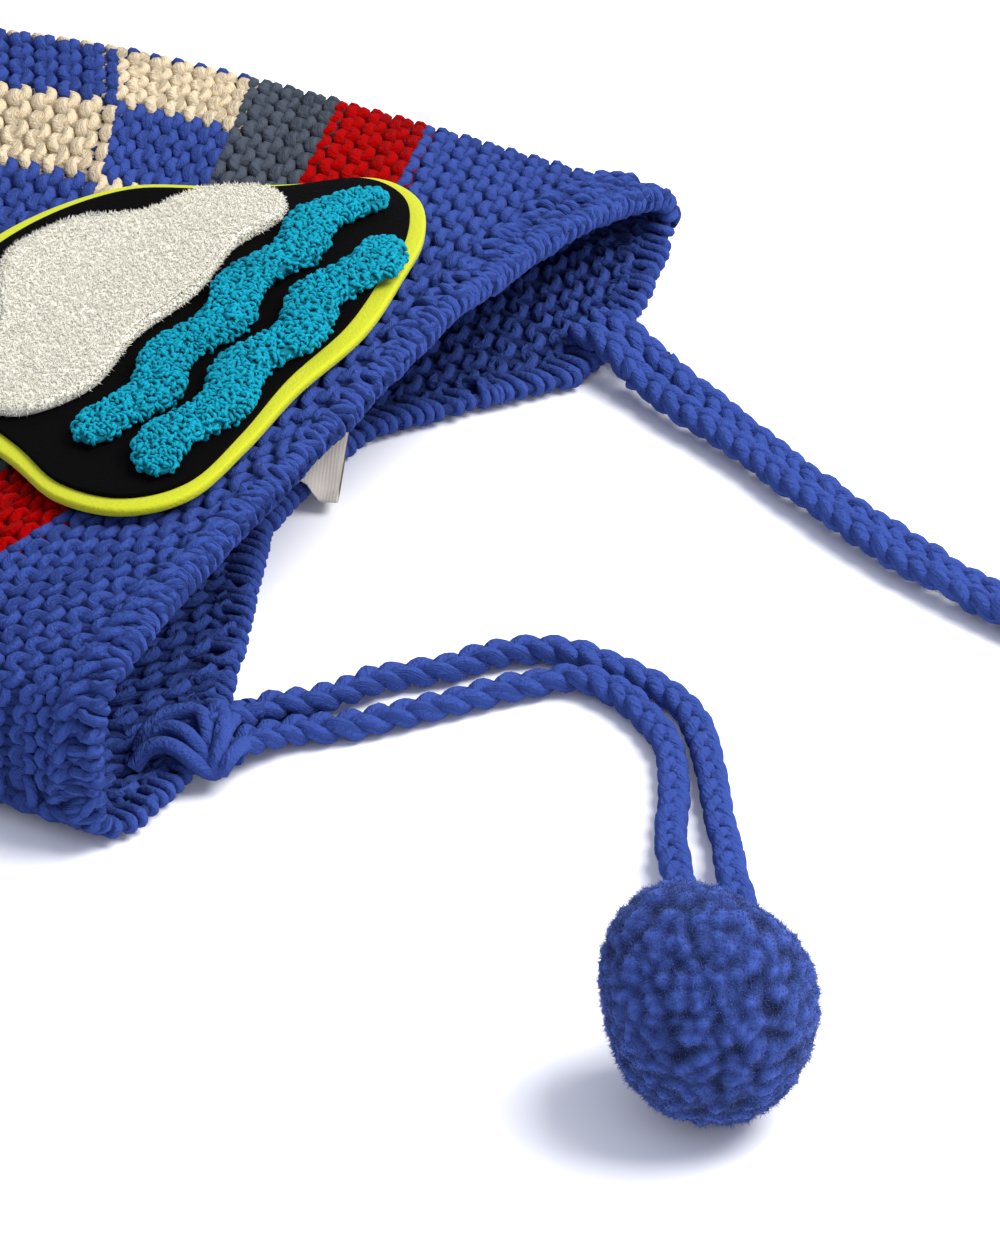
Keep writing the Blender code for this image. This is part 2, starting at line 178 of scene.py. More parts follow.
# The phase of a loop on its way into the fabric, which paints the roll as dark as a gap: painted shade
ROLL_PHASE = 1.2
KNOB_PITCH = 2.7
KNOB_LENGTH = 3.6
ARCH_PITCH = 0.92
LEAF_START = 22.0
LEAF_PITCH = 0.9
# How uneven the hand's work is. Lengths along the edge and rows are in stitches and rows, and others in mm
# or as shares. Each is the least and the most, but a rib's slant is its mean and its spread
RIB_SIZE = (0.88, 1.12)
RIB_SLANT = (0.15, 0.14)
RIB_OUTSIDE = (0.8, 1.15)
RIB_INSIDE = (0.8, 1.12)
RIB_PROUD = (-0.15, 0.25)
RIB_ASIDE = 0.05
RIB_LOOSE = (-0.2, 0.2)
KNOB_ALONG = (-0.08, 0.08)
KNOB_HALF = (0.38, 0.60)
KNOB_ASIDE = (-0.15, 0.15)
KNOB_SLANT = (-0.15, 0.6)
KNOB_RISE = (0.6, 2.0)
KNOB_SIZE = (0.85, 1.4)
ARCH_HALF = (0.24, 0.32)
ARCH_SIZE = (1.0, 1.2)
LEAF_LENGTH = (0.9, 1.2)
LEAF_SLANT = (0.3, 0.75)
LEAF_SIZE = (0.95, 1.15)

# Ties: x, y and height of a cord's middle, from the knot to the pompom
PLAIT = {
    "Half Width": 1.32 * MM, "Half Height": 0.75 * MM, "Turn Length": 14.8 * MM, "Yarn Radius": 1.52 * MM,
    "Looseness": 1.4 * MM,
}
PLAIT_SIDES = 8
PLAIT_START = 1.2
PLAIT_TAPER = 25.0
POMPOM_PILE = 1.5
# The balls are cut unevenly. Columns: the way to a bulge or a flat, how far it moves, and how wide it is
POMPOM_CUTS = [
    ((0.14, 0.69, 0.71), 0.15, 0.42),
    ((-0.57, 0.80, -0.15), -0.09, 0.35),
    ((-0.31, -0.51, -0.79), 0.08, 0.40),
    ((-0.60, 0.20, 0.77), -0.04, 0.25),
    ((0.70, -0.20, 0.68), -0.03, 0.25),
]
TIE_NEAR_OUTER = [
    (-68.9, -9.2, 5.6), (-65.5, -10.8, 5.4), (-62.5, -13.0, 5.0), (-59.0, -15.4, 4.6), (-53.5, -18.2, 4.0),
    (-47.0, -20.8, 3.4), (-41.9, -24.2, 2.8), (-37.3, -28.8, 2.7), (-31.6, -32.4, 2.7), (-26.5, -36.3, 2.7),
    (-22.9, -40.7, 2.7), (-21.2, -46.3, 2.7), (-21.2, -52.7, 2.7), (-21.8, -59.2, 2.7), (-23.3, -65.4, 2.7),
    (-26.3, -71.4, 2.7), (-31.5, -77.2, 2.7), (-38.6, -82.9, 2.7), (-45.7, -87.7, 2.7), (-52.7, -92.5, 2.7),
    (-59.6, -97.5, 3.2), (-67.2, -102.7, 4.6), (-84.0, -114.4, 6.4), (-93.0, -118.8, 8.8),
    (-101.0, -122.0, 11.0), (-105.9, -123.8, 12.6),
]
TIE_NEAR_INNER = [
    (-70.3, -14.4, 3.8), (-65.8, -17.4, 2.8), (-61.6, -22.1, 2.7), (-57.5, -26.1, 2.7), (-52.9, -29.8, 2.7),
    (-48.2, -33.1, 2.7), (-43.7, -36.5, 2.7), (-38.4, -40.2, 2.7), (-33.5, -44.3, 2.9), (-29.4, -48.3, 3.1),
    (-27.6, -53.1, 3.2), (-28.4, -58.3, 3.1), (-30.6, -63.9, 2.9), (-33.6, -69.3, 2.7), (-38.1, -74.4, 2.7),
    (-43.7, -78.8, 2.7), (-50.1, -82.4, 2.7), (-56.6, -85.6, 2.7), (-63.1, -88.9, 3.2), (-70.0, -93.5, 4.4),
    (-87.6, -105.4, 6.4), (-95.8, -110.6, 8.8), (-103.4, -115.2, 11.2), (-108.3, -118.0, 13.1),
]
TIE_FAR_OUTER = [
    (68.2, -14.6, 4.0), (66.8, -18.6, 3.2), (63.0, -27.0, 2.7), (57.8, -37.2, 2.7), (52.8, -47.6, 2.7),
    (47.5, -58.4, 2.7), (42.9, -69.0, 2.7), (38.9, -79.2, 2.7), (35.5, -88.9, 2.7), (32.7, -98.4, 2.7),
    (30.4, -108.0, 2.7), (28.6, -118.0, 2.7), (27.2, -128.0, 2.7), (26.2, -138.0, 2.7), (25.4, -148.0, 2.9),
    (24.8, -157.0, 4.2), (24.2, -166.0, 6.8), (23.2, -176.0, 10.2), (22.3, -184.6, 13.4),
]
TIE_FAR_INNER = [
    (61.6, -13.0, 4.8), (59.0, -18.6, 4.5), (55.6, -26.6, 4.3), (52.6, -35.2, 4.2), (48.0, -45.7, 4.2),
    (42.8, -56.6, 4.2), (38.2, -67.2, 4.2), (34.2, -77.4, 4.2), (30.8, -87.1, 4.2), (28.0, -96.6, 4.2),
    (25.6, -106.6, 3.8), (23.4, -117.0, 3.2), (21.6, -127.6, 2.7), (20.2, -138.0, 2.7), (19.0, -148.0, 2.9),
    (18.2, -157.0, 4.2), (17.4, -166.0, 6.8), (16.6, -176.0, 10.2), (16.7, -184.6, 13.4),
]

# Columns: node, route, and the side whose pompom is on it
TIES = [
    ("tie_near_outer", TIE_NEAR_OUTER, "near"),
    ("tie_near_inner", TIE_NEAR_INNER, "near"),
    ("tie_far_outer", TIE_FAR_OUTER, "far"),
    ("tie_far_inner", TIE_FAR_INNER, "far"),
]

# The near ties' yarns come from inside the flap, over its edge and round the plaits' starts
NEAR_STRANDS = [
    [(-85.7, 2.8, 4.6), (-84.1, 2.1, 7.0), (-81.2, 0.8, 8.4), (-78.7, -1.5, 9.2), (-77.8, -4.4, 9.2),
     (-80.4, -7.4, 8.8), (-83.3, -9.7, 7.8), (-84.7, -11.9, 6.0), (-82.3, -12.6, 3.8)],
    [(-87.4, 2.1, 4.4), (-85.8, 0.8, 7.2), (-84.1, -1.8, 8.9), (-84.1, -5.4, 8.9), (-85.0, -8.5, 7.8),
     (-85.4, -11.1, 6.0), (-83.5, -12.3, 3.8)],
    [(-91.7, 0.3, 4.2), (-89.7, -0.5, 6.6), (-88.2, -2.9, 8.2), (-87.9, -6.1, 8.2), (-87.8, -8.8, 7.0),
     (-87.0, -10.9, 5.2), (-84.5, -11.8, 3.4)],
    [(-85.5, -11.8, 4.6), (-85.2, -12.0, 7.0), (-82.7, -11.9, 9.0), (-76.8, -9.9, 8.3), (-71.0, -8.4, 6.3),
     (-67.0, -10.0, 5.2)],
    [(-84.5, -13.0, 4.2), (-84.8, -14.0, 6.4), (-81.0, -14.0, 6.8), (-76.2, -13.2, 5.2), (-71.0, -14.0, 4.0)],
    [(-85.5, -11.8, 4.6), (-85.2, -12.0, 7.0), (-82.0, -11.2, 8.8), (-77.9, -9.4, 9.2), (-74.8, -6.6, 8.8),
     (-73.4, -3.5, 7.6)],
    [(-76.5, -6.0, 3.4), (-72.8, -7.0, 2.8), (-69.6, -8.2, 2.5), (-66.0, -10.6, 2.3), (-62.6, -13.0, 2.1),
     (-59.6, -14.8, 2.0), (-56.8, -16.6, 1.9)],
]
STRAND_RADIUS = 1.55
STRAND_SIDES = 7
# The plaits' first stretch, up to where each tie starts
NEAR_LEADS = [
    [(-79.5, -6.2, 7.6), (-76.0, -7.4, 8.2), (-72.4, -8.2, 7.0), (-68.0, -9.6, 5.6)],
    [(-79.5, -11.6, 5.0), (-75.5, -12.6, 4.8), (-72.4, -13.6, 4.2), (-69.4, -15.0, 3.7)],
]
FAR_LEADS = [
    [(73.5, 2.4, 5.6), (71.6, -3.4, 6.6), (69.8, -9.4, 5.8), (68.0, -15.2, 3.9)],
    [(67.4, 3.0, 6.0), (65.4, -3.0, 7.2), (63.6, -8.4, 6.4), (61.4, -13.8, 4.8)],
]

# The tag, a folded tape: its outer end's middle, its turn, its sizes, and how far it falls past the edge
TAG_END = (10.0, 18.2)
TAG_TURN = 24.0
TAG_WIDTH = 21.0
TAG_LENGTH = 20.0
TAG_THICK = 1.2
TAG_HEIGHT = 7.0
TAG_FALL = 4.2
TAG_FALL_RUN = 3.2

# Colours, as they look in daylight
BLUE = "384D94"
RED = "A60000"
GREY = "4B525C"
BEIGE = "DFCCA9"
YELLOW = "C3C828"
TEAL = "0092A8"
WHITE = "E8E4D4"
BLACK = "050404"
TAPE = "C6BEB4"

# Where the colours change, in rows from the crown
BLUE_BAND_ROW = 37
RED_ROW = 33
GREY_ROW = 29
CHEQUER_ROW = 23
CROWN_ROW = 17
BLOCK_STITCHES = 4
BLOCK_START = 1.0
# The last rows before the edging are blue all round
LAST_BLUE_ROWS = 2.5
# Columns: first row, and how many stitches the rows from there have
CROWN_STITCHES = [(11, 72), (8, 54), (5, 36), (3, 24), (1, 12), (0, 8)]
# Yarns. Columns: colour, how much painted shade darkens it where a loop dives, and how much of its colour it
# keeps under the painted shade between loops
YARNS = {
    "blue": (BLUE, 0.28, 0.50),
    "red": (RED, 0.22, 0.60),
    "grey": (GREY, 0.33, 0.55),
    "beige": (BEIGE, 0.20, 0.70),
}

# The loop that one stitch makes of the yarn: half its height in rows, and its width's wave in stitches
LOOP_HEIGHT = 0.78
LOOP = {
    "Yarn Radius": 1.18 * MM, "Loop Height": LOOP_HEIGHT, "Loop Wave": 0.22, "Depth": 0.66 * MM,
    "Foot Depth": 0.22 * MM, "Looseness": 0.9 * MM,
}
FRONT_POINTS = 16
FRONT_SIDES = 6
BACK_POINTS = 10
BACK_SIDES = 4
# Rows end this far short of the edge, under the band
KNIT_STOPS = 0.4
# No loops are made where the patch hides them, this far in from its outline
PATCH_HIDES = 7.0
# The flaps show purl on both sides: there the loops' heads lie on the inside of the back layer
INSIDE_PURL = (36.0, 40.0, 68.0, 72.0)
INSIDE_PURL_ROWS = (34, 38)
INSIDE_PURL_TURN = 1.8
# The layer behind the loops, dark with painted shade: how far behind and how thick, and how far it stays, in
# rows, from the crown's middle and the edge
CORE_BEHIND = 0.3
CORE_THICK = 0.3
CORE_STARTS = 0.3
CORE_STOPS = 0.5

# How often soft yarn wanders to its sides, and swells, in a metre
LOOP_WANDERS = 170.0
LOOP_SWELLS = 220.0
STRAND_WANDERS = 150.0
PLAIT_WANDERS = 160.0
PLAIT_SWELLS = 190.0
POMPOM_WANDERS = 150.0

# What makes the finishes, by its real size in mm
YARN_TWIST = 9.0
YARN_PLIES = 3
YARN_FIBRE = 3.85
YARN_FIBRES_ROUND = 14
YARN_FUZZ = 0.77
YARN_PATCHES = 8.3
CORE_FIBRE = 1.1
FELT_FIBRE = 0.6
FELT_RELIEF = 0.3
TAPE_RIB = 0.55
TAPE_THREAD = 0.4
TAPE_WEAR = 5.6
PILE_PATCHES = 9.1
PILE_FIBRE = 0.45

# Piles. Densities are for a square metre
PLUSH = {"Density": 7.5e6, "Fibre Radius": 0.13 * MM, "Fibre Length": 0.9 * MM}
CHENILLE = {"Density": 1.5e6, "Loop Radius": 0.55 * MM, "Yarn Radius": 0.34 * MM}
YARN_ENDS = {
    "Tufts": 390.0, "Tuft Height": 1.3 * MM, "Density": 4.2e6, "Fibre Radius": 0.06 * MM,
    "Fibre Length": 1.0 * MM,
}
# The pompom's tufts are drawn out along some of its axes, and bent
TUFT_STRETCH = (0.75, 1.0, 1.1)
TUFT_BEND = 3.5 * MM
TUFT_FUZZ = 900.0

# The room, and its lamps. Columns: name, power in watts, size and place in metres
TABLE_COLOUR = "FAFAFC"
TABLE_HALF = 3.0
ROOM_COLOUR = "E9EDFF"
ROOM_LIGHT = 0.74
LAMPS = [
    ("key", 29.5, 0.9, (0.40, -0.80, 1.25)),
    ("fill", 2.5, 1.2, (-0.70, -1.30, 0.55)),
]

# The camera: the place it looks at, its turn and height, its distance and its lens
LOOK_AT = (-16.2, -28.8, 0.0)
CAMERA_TURN = -60.32
CAMERA_HEIGHT = 33.38
CAMERA_DISTANCE = 1771.8
LENS = 290.45


def to_world(points):
    """Places in the hat's own millimetres as places in the frame."""
    return (np.asarray(points, float) - (0.0, MIDDLE_Y, 0.0)) * MM


def column(table, index):
    """One column of a table of rows."""
    return np.array([row[index] for row in table], float)


def smooth_step(t):
    """0 before 0 and 1 after 1, with a soft rise between."""
    t = np.clip(t, 0.0, 1.0)
    return t * t * (3.0 - 2.0 * t)


def squared(wave, power):
    """A sine or cosine that stays near its ends for longer, for an outline between an oval and a box."""
    return np.sign(wave) * np.abs(wave) ** power


def unit(vectors):
    """The same ways, each one long."""
    return vectors / np.linalg.norm(vectors, axis=-1, keepdims=True)


def distances(points):
    """How far along a line each of its points lies."""
    return np.concatenate([[0.0], np.cumsum(np.linalg.norm(np.diff(points, axis=0), axis=1))])


def spaced(points, shares):
    """Points at shares of a line's length."""
    length = distances(points)
    if length[-1] < 1e-9:
        return np.repeat(points[:1], len(shares), axis=0)
    at = np.asarray(shares) * length[-1]
    return np.stack([np.interp(at, length, points[:, axis]) for axis in range(3)], axis=1)


def smooth_line(points, parts):
    """A smooth curve through all but the first and last of some points, without its own last point."""
    share = np.arange(parts)[:, None] / parts
    return np.concatenate([
        0.5 * (2 * start + (end - before) * share + (2 * before - 5 * start + 4 * end - after) * share**2
               + (3 * start - before - 3 * end + after) * share**3)
        for before, start, end, after in zip(points, points[1:], points[2:], points[3:])
    ])


def linear(hex_colour, share=1.0, lift=0.0):
    """An sRGB hex value as linear light, or a share of it with a little more light added."""
    values = [int(hex_colour[i : i + 2], 16) / 255 for i in (0, 2, 4)]
    values = [v / 12.92 if v <= 0.04045 else ((v + 0.055) / 1.055) ** 2.4 for v in values]
    return tuple(min(v * share + lift, 1.0) for v in values) + (1.0,)


# The hat's surface


def skin_height(x, y):
    """Heights of the upper and lower outer skins over a place in plan."""
    y = np.maximum(y, 0.0)
    share = (np.abs(x) / HALF_WIDTH) ** OUTLINE_POWER + (y / LENGTH) ** OUTLINE_POWER
    share = np.clip(share ** (1.0 / OUTLINE_POWER), 1e-6, 1.0)
    to_edge = (1.0 - share) * np.hypot(x, y) / share
    on_body = smooth_step(y / ARCH_ON_BODY[0])
    _, height, power_minus, power_plus = [
        rim + (body - rim) * on_body for rim, body in zip(ARCH_AT_RIM, ARCH_ON_BODY)
    ]
    side = smooth_step((x + ARCH_BLEND) / (2.0 * ARCH_BLEND))
    power = power_minus + (power_plus - power_minus) * side
    arch = height * np.maximum(1.0 - share**power, 0.0) ** (1.0 / power)
    into_fold = np.clip(1.0 - to_edge / FOLD_RADIUS, 0.0, 1.0)
    rounded = FOLD_RADIUS * np.sqrt(1.0 - into_fold**2)
    upper = (arch**6 + rounded**6) ** (1.0 / 6.0)
    return FOLD_RADIUS + upper, FOLD_RADIUS - rounded


def outline_points():
    """The flat hat's outline from the crown's middle round to the fold, and how far along it each point is."""
    turn = np.linspace(0.0, math.pi / 2.0, 1500)
    x = np.append(HALF_WIDTH * np.sin(turn) ** (2.0 / OUTLINE_POWER), HALF_WIDTH)
    y = np.append(LENGTH * np.maximum(np.cos(turn), 0.0) ** (2.0 / OUTLINE_POWER), -LENGTH / 4.0)
    return x, y, distances(np.stack([x, y], axis=1))


class Skin:
    """The outer skin by stitch round from the +X fold and by row from the crown."""

    ROW_STEP = 0.25
    SHARES = 4

    def __init__(self):
        outline = outline_points()
        half = STITCHES // 2 * self.SHARES
        even = np.arange(half) / half
        self.rows = np.arange(0.0, RINGS[-1][0] + self.ROW_STEP / 2, self.ROW_STEP)
        self.spread = np.array([self.front_shares(row, even) for row in self.rows])
        self.points = np.array([self.ring(row, outline, s, even) for row, s in zip(self.rows, self.spread)])
        round_step = np.roll(self.points, -1, axis=1) - np.roll(self.points, 1, axis=1)
        normals = np.cross(round_step, np.gradient(self.points, axis=0))
        normals[0] = (0.0, 1.0, 0.0)
        normals /= np.maximum(np.linalg.norm(normals, axis=2, keepdims=True), 1e-12)
        for _ in range(3):
            normals = unit(normals + 0.5 * (np.roll(normals, 1, axis=1) + np.roll(normals, -1, axis=1)))
        self.normals = normals
        self.edge_rows, self.band_rows, self.depths = self.cut()

    def front_shares(self, row, even):
        """Shares of the front's width where the stitches lie: wider by the +X fold."""
        to_rim = smooth_step((row - SPREAD_ROWS[0]) / (SPREAD_ROWS[1] - SPREAD_ROWS[0]))
        from_crown = smooth_step((row - EVEN_ROWS[0]) / (EVEN_ROWS[1] - EVEN_ROWS[0]))
        shift = 0.0
        for wave, (body, rim) in enumerate(zip(SPREAD_BODY, SPREAD_RIM), start=1):
            shift = shift + (body + (rim - body) * to_rim) * np.sin(math.pi * wave * even)
        return even + shift * from_crown

    def ring(self, row, outline, front_shares, back_shares):
        """One row's places, from the +X fold over the front and back below."""
        rows = column(RINGS, 0)
        middle_y, run_plus, run_minus = [np.interp(row, rows, column(RINGS, index)) for index in (1, 2, 3)]
        across = np.sin(np.linspace(1.0, -1.0, 241) * math.pi / 2.0)
        plus = across > 0.0
        run = np.where(plus, run_plus, run_minus)
        fold_x = np.interp(run, outline[2], outline[0])
        fold_y = np.interp(run, outline[2], outline[1])
        bow = np.where(plus, BOW_PLUS, BOW_MINUS)
        y = middle_y + (fold_y - middle_y) * np.abs(across) ** bow
        left = np.maximum(1.0 - (np.maximum(y, 0.0) / LENGTH) ** OUTLINE_POWER, 0.0)
        widest = HALF_WIDTH * left ** (1.0 / OUTLINE_POWER)
        x = np.clip(fold_x * across, -widest, widest)
        upper, lower = skin_height(x, y)
        y = y + RIM_SKEW * x / HALF_WIDTH
        front = spaced(np.stack([x, y, upper], axis=1), front_shares)
        back = spaced(np.stack([x, y, lower], axis=1)[::-1], back_shares)
        return np.concatenate([front, back])

    def cut(self):
        """The row of the opening's edge and of the band's start, at each place round, and the band's depth."""
        count = self.points.shape[1]
        edge_rows = np.zeros(count)
        band_rows = np.zeros(count)
        depths = np.zeros(count)
        for i in range(count):
            wale = self.points[:, i]
            in_front = i < count // 2
            if in_front:
                edge_y = RIM_SKEW * wale[:, 0] / HALF_WIDTH
            else:
                edge_y = np.interp(wale[:, 0], column(BACK_EDGE, 0), column(BACK_EDGE, 1))
            past = wale[:, 1] - edge_y
            last = int(np.argmax(past < 0.0))
            edge_rows[i] = self.rows[last - 1] + self.ROW_STEP * past[last - 1] / (past[last - 1] - past[last])
            length = distances(wale)
            share = self.spread[last, i] if in_front else 2.0 * i / count
            depths[i] = np.interp(share, column(BAND_DEPTH, 0), column(BAND_DEPTH, 1))
            band_rows[i] = np.interp(np.interp(edge_rows[i], self.rows, length) - depths[i], length, self.rows)
        return edge_rows, band_rows, depths

    def blend(self, grid, stitch, row):
        """Values of a grid between its places, round and along."""
        count = grid.shape[1]
        at = np.mod(np.asarray(stitch, float) * self.SHARES, count)
        i = np.floor(at).astype(int)
        u = (at - i)[..., None]
        up = np.clip(np.asarray(row, float) / self.ROW_STEP, 0.0, grid.shape[0] - 1.001)
        j = np.floor(up).astype(int)
        v = (up - j)[..., None]
        i2 = (i + 1) % count
        i = i % count
        low = grid[j, i] * (1 - u) + grid[j, i2] * u
        high = grid[j + 1, i] * (1 - u) + grid[j + 1, i2] * u
        return low * (1 - v) + high * v

    def at(self, stitch, row, depth=0.0):
        """Place and outward normal, at a depth below the outer skin."""
        stitch, row = np.broadcast_arrays(stitch, row)
        normal = unit(self.blend(self.normals, stitch, row))
        return self.blend(self.points, stitch, row) - normal * np.asarray(depth)[..., None], normal

    def frames(self, stitch, row, depth):
        """Place, one stitch's step round, one row's step along, and normal."""
        near = 0.4
        place, normal = self.at(stitch, row, depth)
        ahead, _ = self.at(stitch + near, row, depth)
        behind, _ = self.at(stitch - near, row, depth)
        after, _ = self.at(stitch, row + near, depth)
        before, _ = self.at(stitch, row - near, depth)
        return place, (ahead - behind) / (2 * near), (after - before) / (2 * near), normal

    def round_value(self, values, stitch):
        """A value that changes round the opening, such as its edge's row, at a stitch."""
        at = np.mod(np.asarray(stitch, float) * self.SHARES, len(values))
        return np.interp(at, np.arange(len(values) + 1), np.append(values, values[0]))


# Meshes and node trees


def new_object(name, mesh):
    """A mesh as an object of the scene."""
    obj = bpy.data.objects.new(name, mesh)
    bpy.context.scene.collection.objects.link(obj)
    return obj


def wire(name, lines, attributes):
    """A mesh of open lines, with a value of each attribute for each point."""
    edges = []
    start = 0
    for line in lines:
        ends = np.arange(start, start + len(line) - 1)
        edges.append(np.stack([ends, ends + 1], axis=1))
        start += len(line)
    mesh = bpy.data.meshes.new(name)
    mesh.from_pydata(to_world(np.concatenate(lines)), np.concatenate(edges).tolist(), [])
    for key, values in attributes.items():
        values = np.concatenate(values).astype(np.float32)
        kind, field = ("FLOAT_VECTOR", "vector") if values.ndim == 2 else ("FLOAT", "value")
        mesh.attributes.new(key, kind, "POINT").data.foreach_set(field, values.ravel())
    return new_object(name, mesh)


def closed_rings(name, rings, ends, material):
    """A closed mesh of rings of equal counts between two end points, or closed flat where there are none."""
    count = len(rings[0])
    start = 1 if ends else 0
    final = start + (len(rings) - 1) * count
    if ends:
        points = np.concatenate([ends[:1], *rings, ends[1:]])
        faces = [(0, 1 + (i + 1) % count, 1 + i) for i in range(count)]
        last = [(final + i, final + (i + 1) % count, final + count) for i in range(count)]
    else:
        points = np.concatenate(rings)
        faces = [tuple(range(count))[::-1]]
        last = [tuple(range(final, final + count))]
    for low in range(start, final, count):
        for i in range(count):
            k = (i + 1) % count
            faces.append((low + i, low + k, low + count + k, low + count + i))
    mesh = bpy.data.meshes.new(name)
    mesh.from_pydata(to_world(points), [], faces + last)
    mesh.materials.append(material)
    mesh.shade_smooth()
    return new_object(name, mesh)


def add(tree, kind, *values, inputs=None, output=0, **settings):
    """Adds a node with its settings. Values go to its inputs in order, and others by their names, each as a
    number, a link or a list of links. Gives one of its outputs."""
    node = tree.nodes.new(kind)
    for key, value in settings.items():
        setattr(node, key, value)
    for key, value in [*enumerate(values), *(inputs or {}).items()]:
        for source in (value if isinstance(value, list) else [value]):
            if isinstance(source, bpy.types.NodeSocket):
                tree.links.new(source, node.inputs[key])
            else:
                node.inputs[key].default_value = source
    return node.outputs[output]


def geometry_tree(name, *sizes):
    """A tree with a geometry in and out, a named input for each of its sizes, and one for its material."""
    tree = bpy.data.node_groups.new(name, "GeometryNodeTree")
    tree.interface.new_socket("Geometry", in_out="INPUT", socket_type="NodeSocketGeometry")
    for size in sizes:
        tree.interface.new_socket(size, in_out="INPUT", socket_type="NodeSocketFloat")
    tree.interface.new_socket("Material", in_out="INPUT", socket_type="NodeSocketMaterial")
    tree.interface.new_socket("Geometry", in_out="OUTPUT", socket_type="NodeSocketGeometry")
    return tree, tree.nodes.new("NodeGroupInput").outputs


def finish(tree, mesh, material):
    """Ends a tree with one smooth mesh in its material."""
    real = add(tree, "GeometryNodeRealizeInstances", mesh)
    smooth = add(tree, "GeometryNodeSetShadeSmooth", real)
    painted = add(tree, "GeometryNodeSetMaterial", inputs={"Geometry": smooth, "Material": material})
    tree.links.new(painted, tree.nodes.new("NodeGroupOutput").inputs["Geometry"])


def grow(obj, tree, values):
    """Runs a tree on an object and keeps the plain mesh that it makes."""
    modifier = obj.modifiers.new(tree.name, "NODES")
    modifier.node_group = tree
    sockets = {item.name: item.identifier for item in tree.interface.items_tree if item.in_out == "INPUT"}
    for key, value in values.items():
        modifier[sockets[key]] = value
    graph = bpy.context.evaluated_depsgraph_get()
    mesh = bpy.data.meshes.new_from_object(obj.evaluated_get(graph))
    obj.modifiers.remove(modifier)
    before = obj.data
    obj.data = mesh
    mesh.name = obj.name
    bpy.data.meshes.remove(before)


def keep(obj, node):
    """The piece rides on the hat and stands for a CAD node."""
    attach(obj, "root")
    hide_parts(node)


def wander(tree, times, amount):
    """A step to any side that changes from place to place, so many times in a metre."""
    noise = add(tree, "ShaderNodeTexNoise", inputs={"Scale": times, "Detail": 1.0}, output="Color")
    noise = add(tree, "ShaderNodeVectorMath", noise, (0.5, 0.5, 0.5), operation="SUBTRACT")
    return add(tree, "ShaderNodeVectorMath", noise, amount, operation="MULTIPLY")


def yarn(tree, wires, offset, thickness, sides, sizes):
    """Moves wires, and makes them yarn that knows the way along and round itself."""
    wires = add(tree, "GeometryNodeSetPosition", inputs={"Geometry": wires, "Offset": offset})
    curve = add(tree, "GeometryNodeMeshToCurve", wires)
    curve = add(tree, "GeometryNodeSetCurveRadius", inputs={"Curve": curve, "Radius": thickness})
    ring = add(
        tree, "GeometryNodeCurvePrimitiveCircle", inputs={"Resolution": sides, "Radius": sizes["Yarn Radius"]}
    )
    curves = []
    for part, name, way in ((curve, "yarn_along", "Length"), (ring, "yarn_turn", "Factor")):
        way = add(tree, "GeometryNodeSplineParameter", output=way)
        inputs = {"Geometry": part, "Name": name, "Value": way}
        curves.append(add(tree, "GeometryNodeStoreNamedAttribute", inputs=inputs))
    tube = add(tree, "GeometryNodeCurveToMesh", *curves, inputs={"Fill Caps": True})
    finish(tree, tube, sizes["Material"])


def loop_tree(name, sides):
    """Each row is one yarn in loops. Their heads and feet lie on the outside, and their legs inside,
    and a head reaches past the feet of the next row."""
    tree, sizes = geometry_tree(
        name, "Loop Height", "Loop Wave", "Depth", "Foot Depth", "Yarn Radius", "Looseness"
    )
    phase, outward = [
        add(tree, "GeometryNodeInputNamedAttribute", key, data_type="FLOAT") for key in ("phase", "facing")
    ]
    round_step, row_step, wall_normal = [
        add(tree, "GeometryNodeInputNamedAttribute", key, data_type="FLOAT_VECTOR")
        for key in ("round_step", "row_step", "wall_normal")
    ]
    double = add(tree, "ShaderNodeMath", phase, 2.0, operation="MULTIPLY")
    along = add(tree, "ShaderNodeMath", double, operation="SINE")
    along = add(tree, "ShaderNodeMath", along, sizes["Loop Wave"], operation="MULTIPLY")
    head = add(tree, "ShaderNodeMath", phase, operation="COSINE")
    height = add(tree, "ShaderNodeMath", head, -1.0, operation="MULTIPLY")
    height = add(tree, "ShaderNodeMath", height, sizes["Loop Height"], operation="MULTIPLY")
    foot = add(tree, "ShaderNodeMath", head, 1.0, operation="SUBTRACT")
    foot = add(tree, "ShaderNodeMath", foot, sizes["Foot Depth"], operation="MULTIPLY")
    depth = add(tree, "ShaderNodeMath", double, operation="COSINE")
    depth = add(tree, "ShaderNodeMath", depth, sizes["Depth"], operation="MULTIPLY")
    depth = add(tree, "ShaderNodeMath", depth, outward, foot, operation="MULTIPLY_ADD")
    move = wander(tree, LOOP_WANDERS, sizes["Looseness"])
    for step, amount in ((round_step, along), (row_step, height), (wall_normal, depth)):
        move = add(tree, "ShaderNodeVectorMath", step, amount, move, operation="MULTIPLY_ADD")
    thickness = add(tree, "ShaderNodeTexNoise", inputs={"Scale": LOOP_SWELLS, "Detail": 1.0})
    thickness = add(tree, "ShaderNodeMath", thickness, 0.4, 0.8, operation="MULTIPLY_ADD")
    yarn(tree, sizes["Geometry"], move, thickness, sides, sizes)
    return tree


def strand_tree():
    """A plain yarn along a line, whose thickness follows the line's own values."""
    tree, sizes = geometry_tree("yarn strand", "Yarn Radius", "Looseness")
    thickness = add(tree, "GeometryNodeInputNamedAttribute", "thickness", data_type="FLOAT")
    move = wander(tree, STRAND_WANDERS, sizes["Looseness"])
    yarn(tree, sizes["Geometry"], move, thickness, STRAND_SIDES, sizes)
    return tree


